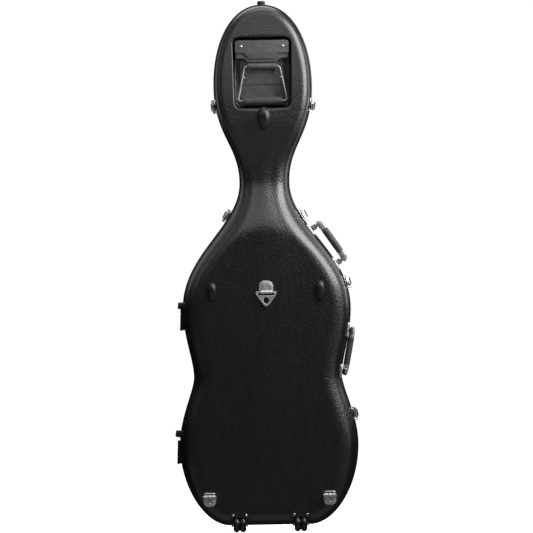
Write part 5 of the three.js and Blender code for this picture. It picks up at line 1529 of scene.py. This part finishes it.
def make_stage():
    scene = bpy.context.scene
    setting = scene.cello_case_stage
    floor = bpy.data.meshes.new("studio_floor")
    size = 60.0
    floor.from_pydata([(-size, -size, 0), (size, -size, 0), (size, size, 0), (-size, size, 0)],
                      [], [(0, 1, 2, 3)])
    floor.materials.append(finishes()["floor"])
    paper = linked("studio_floor", floor)
    paper.visible_glossy = paper.visible_diffuse = False

    def lamp(name, place, aim, width, height, power):
        data = bpy.data.lights.new(name, "AREA")
        data.shape = "RECTANGLE"
        data.size, data.size_y, data.energy = width, height, power
        light = linked(name, data)
        light.location = place
        light.rotation_euler = (Vector(aim) - Vector(place)).to_track_quat("-Z", "Y").to_euler()
        light.visible_camera = False

    lamp("front_softbox", (0.15, -1.15, 1.78), (0, 0, 1.3), 2.0, 0.9, 6.5 * setting.light)
    lamp("right_softbox", (1.25, -0.6, 1.62), (0.1, 0, 0.95), 1.2, 1.2, 40 * setting.light)
    lamp("right_fill", (1.6, -0.4, 0.85), (0, 0, 0.7), 0.6, 1.2, 1.6 * setting.light)
    lamp("left_softbox", (-1.6, -0.4, 1.6), (0, 0, 1.3), 0.7, 0.9, 1.2 * setting.light)
    lamp("rear_left_strip", (-1.0, 0.9, 1.25), (0, 0, 1.1), 0.9, 0.8, 1.0 * setting.light)
    lamp("rear_right_strip", (1.0, 0.9, 1.12), (0, 0, 1.0), 0.9, 1.0, 2.8 * setting.light)
    lamp("top_light", (0.1, -0.3, 3.2), (0, 0, 0.9), 2.2, 1.4, 22 * setting.light)
    lamp("rear_softbox", (-0.3, 1.3, 2.7), (0, 0, 1.0), 2.0, 1.2, 16 * setting.light)

    world = bpy.data.worlds.new("studio_surround")
    world.use_nodes = True
    tree = world.node_tree
    tree.nodes.clear()
    way = planted(tree, "ShaderNodeTexCoord")
    parts = planted(tree, "ShaderNodeSeparateXYZ", Vector=way.outputs["Generated"])
    spread = planted(tree, "ShaderNodeMapRange", From_Min=-0.5, From_Max=1.0,
                     Value=parts.outputs["Z"])
    ramp = planted(tree, "ShaderNodeValToRGB", Fac=spread.outputs["Result"])
    stops = ((0.0, 0.9), (0.14, 0.8), (0.24, 0.25), (0.31, 0.012), (0.393, 0.015), (0.567, 0.5),
             (0.733, 1.0), (1.0, 1.0))
    elements = ramp.color_ramp.elements
    while len(elements) < len(stops):
        elements.new(0.5)
    for element, (place, value) in zip(elements, stops):
        element.position = place
        element.color = (value, value, value, 1)
    front = planted(tree, "ShaderNodeMapRange", From_Min=-0.1, From_Max=0.2, To_Min=1.0,
                    To_Max=0.1, Value=parts.outputs["Y"])
    high = planted(tree, "ShaderNodeMapRange", From_Min=0.3, From_Max=0.7, To_Min=0.1,
                   To_Max=1.0, Value=parts.outputs["Z"])
    share = planted(tree, "ShaderNodeMath", operation="MAXIMUM")
    strength = planted(tree, "ShaderNodeMath", operation="MULTIPLY")
    strength.inputs[1].default_value = setting.surround
    soft = planted(tree, "ShaderNodeBackground", Color=ramp.outputs["Color"],
                   Strength=strength.outputs["Value"])
    white = planted(tree, "ShaderNodeBackground", Color=(1, 1, 1, 1), Strength=1.0)
    path = planted(tree, "ShaderNodeLightPath")
    pick = planted(tree, "ShaderNodeMixShader", Fac=path.outputs["Is Camera Ray"])
    for source, socket in ((front.outputs["Result"], share.inputs[0]),
                           (high.outputs["Result"], share.inputs[1]),
                           (share.outputs["Value"], strength.inputs[0]),
                           (soft.outputs["Background"], pick.inputs[1]),
                           (white.outputs["Background"], pick.inputs[2])):
        tree.links.new(source, socket)
    planted(tree, "ShaderNodeOutputWorld", Surface=pick.outputs["Shader"])
    scene.world = world
    scene.view_settings.view_transform = "Standard"

    data = bpy.data.cameras.new("photo_camera")
    data.lens = setting.lens
    data.sensor_width = 36
    camera = linked("photo_camera", data)
    turn = math.radians(setting.camera_turn)
    aim = Vector((setting.aim_x, -0.04, setting.aim_z))
    away = Vector((math.sin(turn), -math.cos(turn), 0))
    camera.location = aim + away * setting.camera_distance
    camera.rotation_euler = (aim - camera.location).to_track_quat("-Z", "Y").to_euler()
    camera.rotation_euler.rotate_axis("Z", math.radians(setting.camera_roll))
    scene.camera = camera


# Settings a user would change

class CelloCaseFinish(bpy.types.PropertyGroup):
    shell_colour: FloatVectorProperty(
        name="Shell colour", description="Colour of the moulded halves, latch caps and steel",
        default=linear("#08090a"), size=3, min=0, max=1, subtype="COLOR")
    grain: FloatProperty(
        name="Shell grain", description="Width of one pebble in the moulded surface",
        default=0.0044, min=0.0002, max=0.01, unit="LENGTH")
    trim_colour: FloatVectorProperty(
        name="Trim colour", description="Colour of the pull handle's hood and plate",
        default=linear("#4b4c4e"), size=3, min=0, max=1, subtype="COLOR")
    grip_colour: FloatVectorProperty(
        name="Grip colour", description="Colour of the soft handle grips",
        default=linear("#38393b"), size=3, min=0, max=1, subtype="COLOR")
    rim_colour: FloatVectorProperty(
        name="Rim colour", description="Colour of the anodised aluminium round the opening",
        default=linear("#3a3b3e"), size=3, min=0, max=1, subtype="COLOR")
    plating_colour: FloatVectorProperty(
        name="Plating colour", description="Colour of the bright latches, rings and handle ends",
        default=linear("#d3d4d6"), size=3, min=0, max=1, subtype="COLOR")
    rubber_colour: FloatVectorProperty(
        name="Rubber colour", description="Colour of feet, wheels and rim seal",
        default=linear("#101112"), size=3, min=0, max=1, subtype="COLOR")
    plush_colour: FloatVectorProperty(
        name="Plush colour", description="Colour of the padded inside",
        default=linear("#3d4148"), size=3, min=0, max=1, subtype="COLOR")
    webbing_colour: FloatVectorProperty(
        name="Webbing colour", description="Colour of the neck strap, pouch and stitching",
        default=linear("#24262a"), size=3, min=0, max=1, subtype="COLOR")
    floor_colour: FloatVectorProperty(
        name="Floor colour", description="Colour of the studio floor",
        default=linear("#f4f4f4"), size=3, min=0, max=1, subtype="COLOR")


class CelloCaseHardware(bpy.types.PropertyGroup):
    stitch_pitch: FloatProperty(
        name="Stitch pitch", description="Distance from one stitch to the next",
        default=0.0048, min=0.002, max=0.02, unit="LENGTH")


class CelloCaseStage(bpy.types.PropertyGroup):
    light: FloatProperty(name="Lamp strength", description="Brightness of the soft lamps",
                         default=1.0, min=0, max=10)
    surround: FloatProperty(name="Surround strength", description="Brightness all round",
                            default=0.3, min=0, max=10)
    lens: FloatProperty(name="Lens", description="Focal length on a 36 mm sensor",
                        default=766.5, min=10, max=1000)
    camera_distance: FloatProperty(name="Camera distance", description="Camera to the aim point",
                                   default=30.0, min=0.5, max=60, unit="LENGTH")
    camera_turn: FloatProperty(name="Camera turn", description="Degrees round from straight on",
                               default=0.29, min=-180, max=180)
    camera_roll: FloatProperty(name="Camera roll", description="Degrees the camera leans",
                               default=-1.053, min=-45, max=45)
    aim_x: FloatProperty(name="Aim across", description="Where the camera looks, across",
                         default=0.00175, min=-2, max=2, unit="LENGTH")
    aim_z: FloatProperty(name="Aim height", description="Where the camera looks, up",
                         default=0.6996, min=0, max=3, unit="LENGTH")


# Operators, panel and registration

class ADD_OT_case_shells(bpy.types.Operator):
    """Add the two moulded halves of the case with their resting bumps"""
    bl_idname = "cello_case.shells"
    bl_label = "Add shells"

    def execute(self, context):
        make_shells()
        return {"FINISHED"}


class ADD_OT_case_rims(bpy.types.Operator):
    """Add the aluminium rims and the seal between them"""
    bl_idname = "cello_case.rims"
    bl_label = "Add rims"

    def execute(self, context):
        make_rims()
        return {"FINISHED"}


class ADD_OT_case_pull_handle(bpy.types.Operator):
    """Add the folding pull handle in its recess"""
    bl_idname = "cello_case.pull_handle"
    bl_label = "Add pull handle"

    def execute(self, context):
        make_pull_handle()
        return {"FINISHED"}


class ADD_OT_case_feet(bpy.types.Operator):
    """Add the rubber feet, the front one on the lid"""
    bl_idname = "cello_case.feet"
    bl_label = "Add feet"

    def execute(self, context):
        make_feet()
        return {"FINISHED"}


class ADD_OT_case_wheels(bpy.types.Operator):
    """Add the wheels with their brackets and pins"""
    bl_idname = "cello_case.wheels"
    bl_label = "Add wheels"

    def execute(self, context):
        make_wheels()
        return {"FINISHED"}


class ADD_OT_case_strap_fittings(bpy.types.Operator):
    """Add the plates and rings that carry the backpack straps"""
    bl_idname = "cello_case.strap_fittings"
    bl_label = "Add strap fittings"

    def execute(self, context):
        make_strap_fittings()
        return {"FINISHED"}


class ADD_OT_case_hinges(bpy.types.Operator):
    """Add the two lid hinges"""
    bl_idname = "cello_case.hinges"
    bl_label = "Add hinges"

    def execute(self, context):
        make_hinges()
        return {"FINISHED"}


class ADD_OT_case_latches(bpy.types.Operator):
    """Add the six latches with their catches"""
    bl_idname = "cello_case.latches"
    bl_label = "Add latches"

    def execute(self, context):
        make_latches()
        return {"FINISHED"}


class ADD_OT_case_handles(bpy.types.Operator):
    """Add the two carrying handles"""
    bl_idname = "cello_case.handles"
    bl_label = "Add carrying handles"

    def execute(self, context):
        make_handles()
        return {"FINISHED"}


class ADD_OT_case_padding(bpy.types.Operator):
    """Add the padded linings with their piping and stitching"""
    bl_idname = "cello_case.padding"
    bl_label = "Add padding"

    def execute(self, context):
        make_linings()
        make_lining_seams()
        return {"FINISHED"}


class ADD_OT_case_inside(bpy.types.Operator):
    """Add the neck rest, bow holders and accessory pouch"""
    bl_idname = "cello_case.inside"
    bl_label = "Add inside fittings"

    def execute(self, context):
        make_neck_rest()
        make_bow_holders()
        make_pouch()
        return {"FINISHED"}


class ADD_OT_case_stage(bpy.types.Operator):
    """Add the floor, lamps, surround and camera"""
    bl_idname = "cello_case.stage"
    bl_label = "Add stage"

    def execute(self, context):
        make_stage()
        return {"FINISHED"}


OPERATORS = (ADD_OT_case_stage, ADD_OT_case_shells, ADD_OT_case_rims, ADD_OT_case_pull_handle,
             ADD_OT_case_feet, ADD_OT_case_wheels, ADD_OT_case_strap_fittings,
             ADD_OT_case_hinges, ADD_OT_case_latches, ADD_OT_case_handles, ADD_OT_case_padding,
             ADD_OT_case_inside)


class VIEW3D_PT_cello_case(bpy.types.Panel):
    bl_label = "Cello case"
    bl_idname = "VIEW3D_PT_cello_case"
    bl_space_type = "VIEW_3D"
    bl_region_type = "UI"
    bl_category = "Cello case"

    def draw(self, context):
        scene = context.scene
        for group in (scene.cello_case_finish, scene.cello_case_hardware, scene.cello_case_stage):
            box = self.layout.box()
            for label in group.__annotations__:
                box.prop(group, label)
        for operator in OPERATORS:
            self.layout.operator(operator.bl_idname)


CLASSES = (CelloCaseFinish, CelloCaseHardware, CelloCaseStage, *OPERATORS, VIEW3D_PT_cello_case)


def register():
    for item in CLASSES:
        bpy.utils.register_class(item)
    bpy.types.Scene.cello_case_finish = PointerProperty(type=CelloCaseFinish)
    bpy.types.Scene.cello_case_hardware = PointerProperty(type=CelloCaseHardware)
    bpy.types.Scene.cello_case_stage = PointerProperty(type=CelloCaseStage)


def unregister():
    del bpy.types.Scene.cello_case_stage
    del bpy.types.Scene.cello_case_hardware
    del bpy.types.Scene.cello_case_finish
    for item in reversed(CLASSES):
        bpy.utils.unregister_class(item)


def main():
    register()
    bpy.ops.cello_case.stage()
    bpy.ops.cello_case.shells()
    bpy.ops.cello_case.rims()
    bpy.ops.cello_case.pull_handle()
    bpy.ops.cello_case.feet()
    bpy.ops.cello_case.wheels()
    bpy.ops.cello_case.strap_fittings()
    bpy.ops.cello_case.hinges()
    bpy.ops.cello_case.latches()
    bpy.ops.cello_case.handles()
    bpy.ops.cello_case.padding()
    bpy.ops.cello_case.inside()


if __name__ == "__main__":
    main()
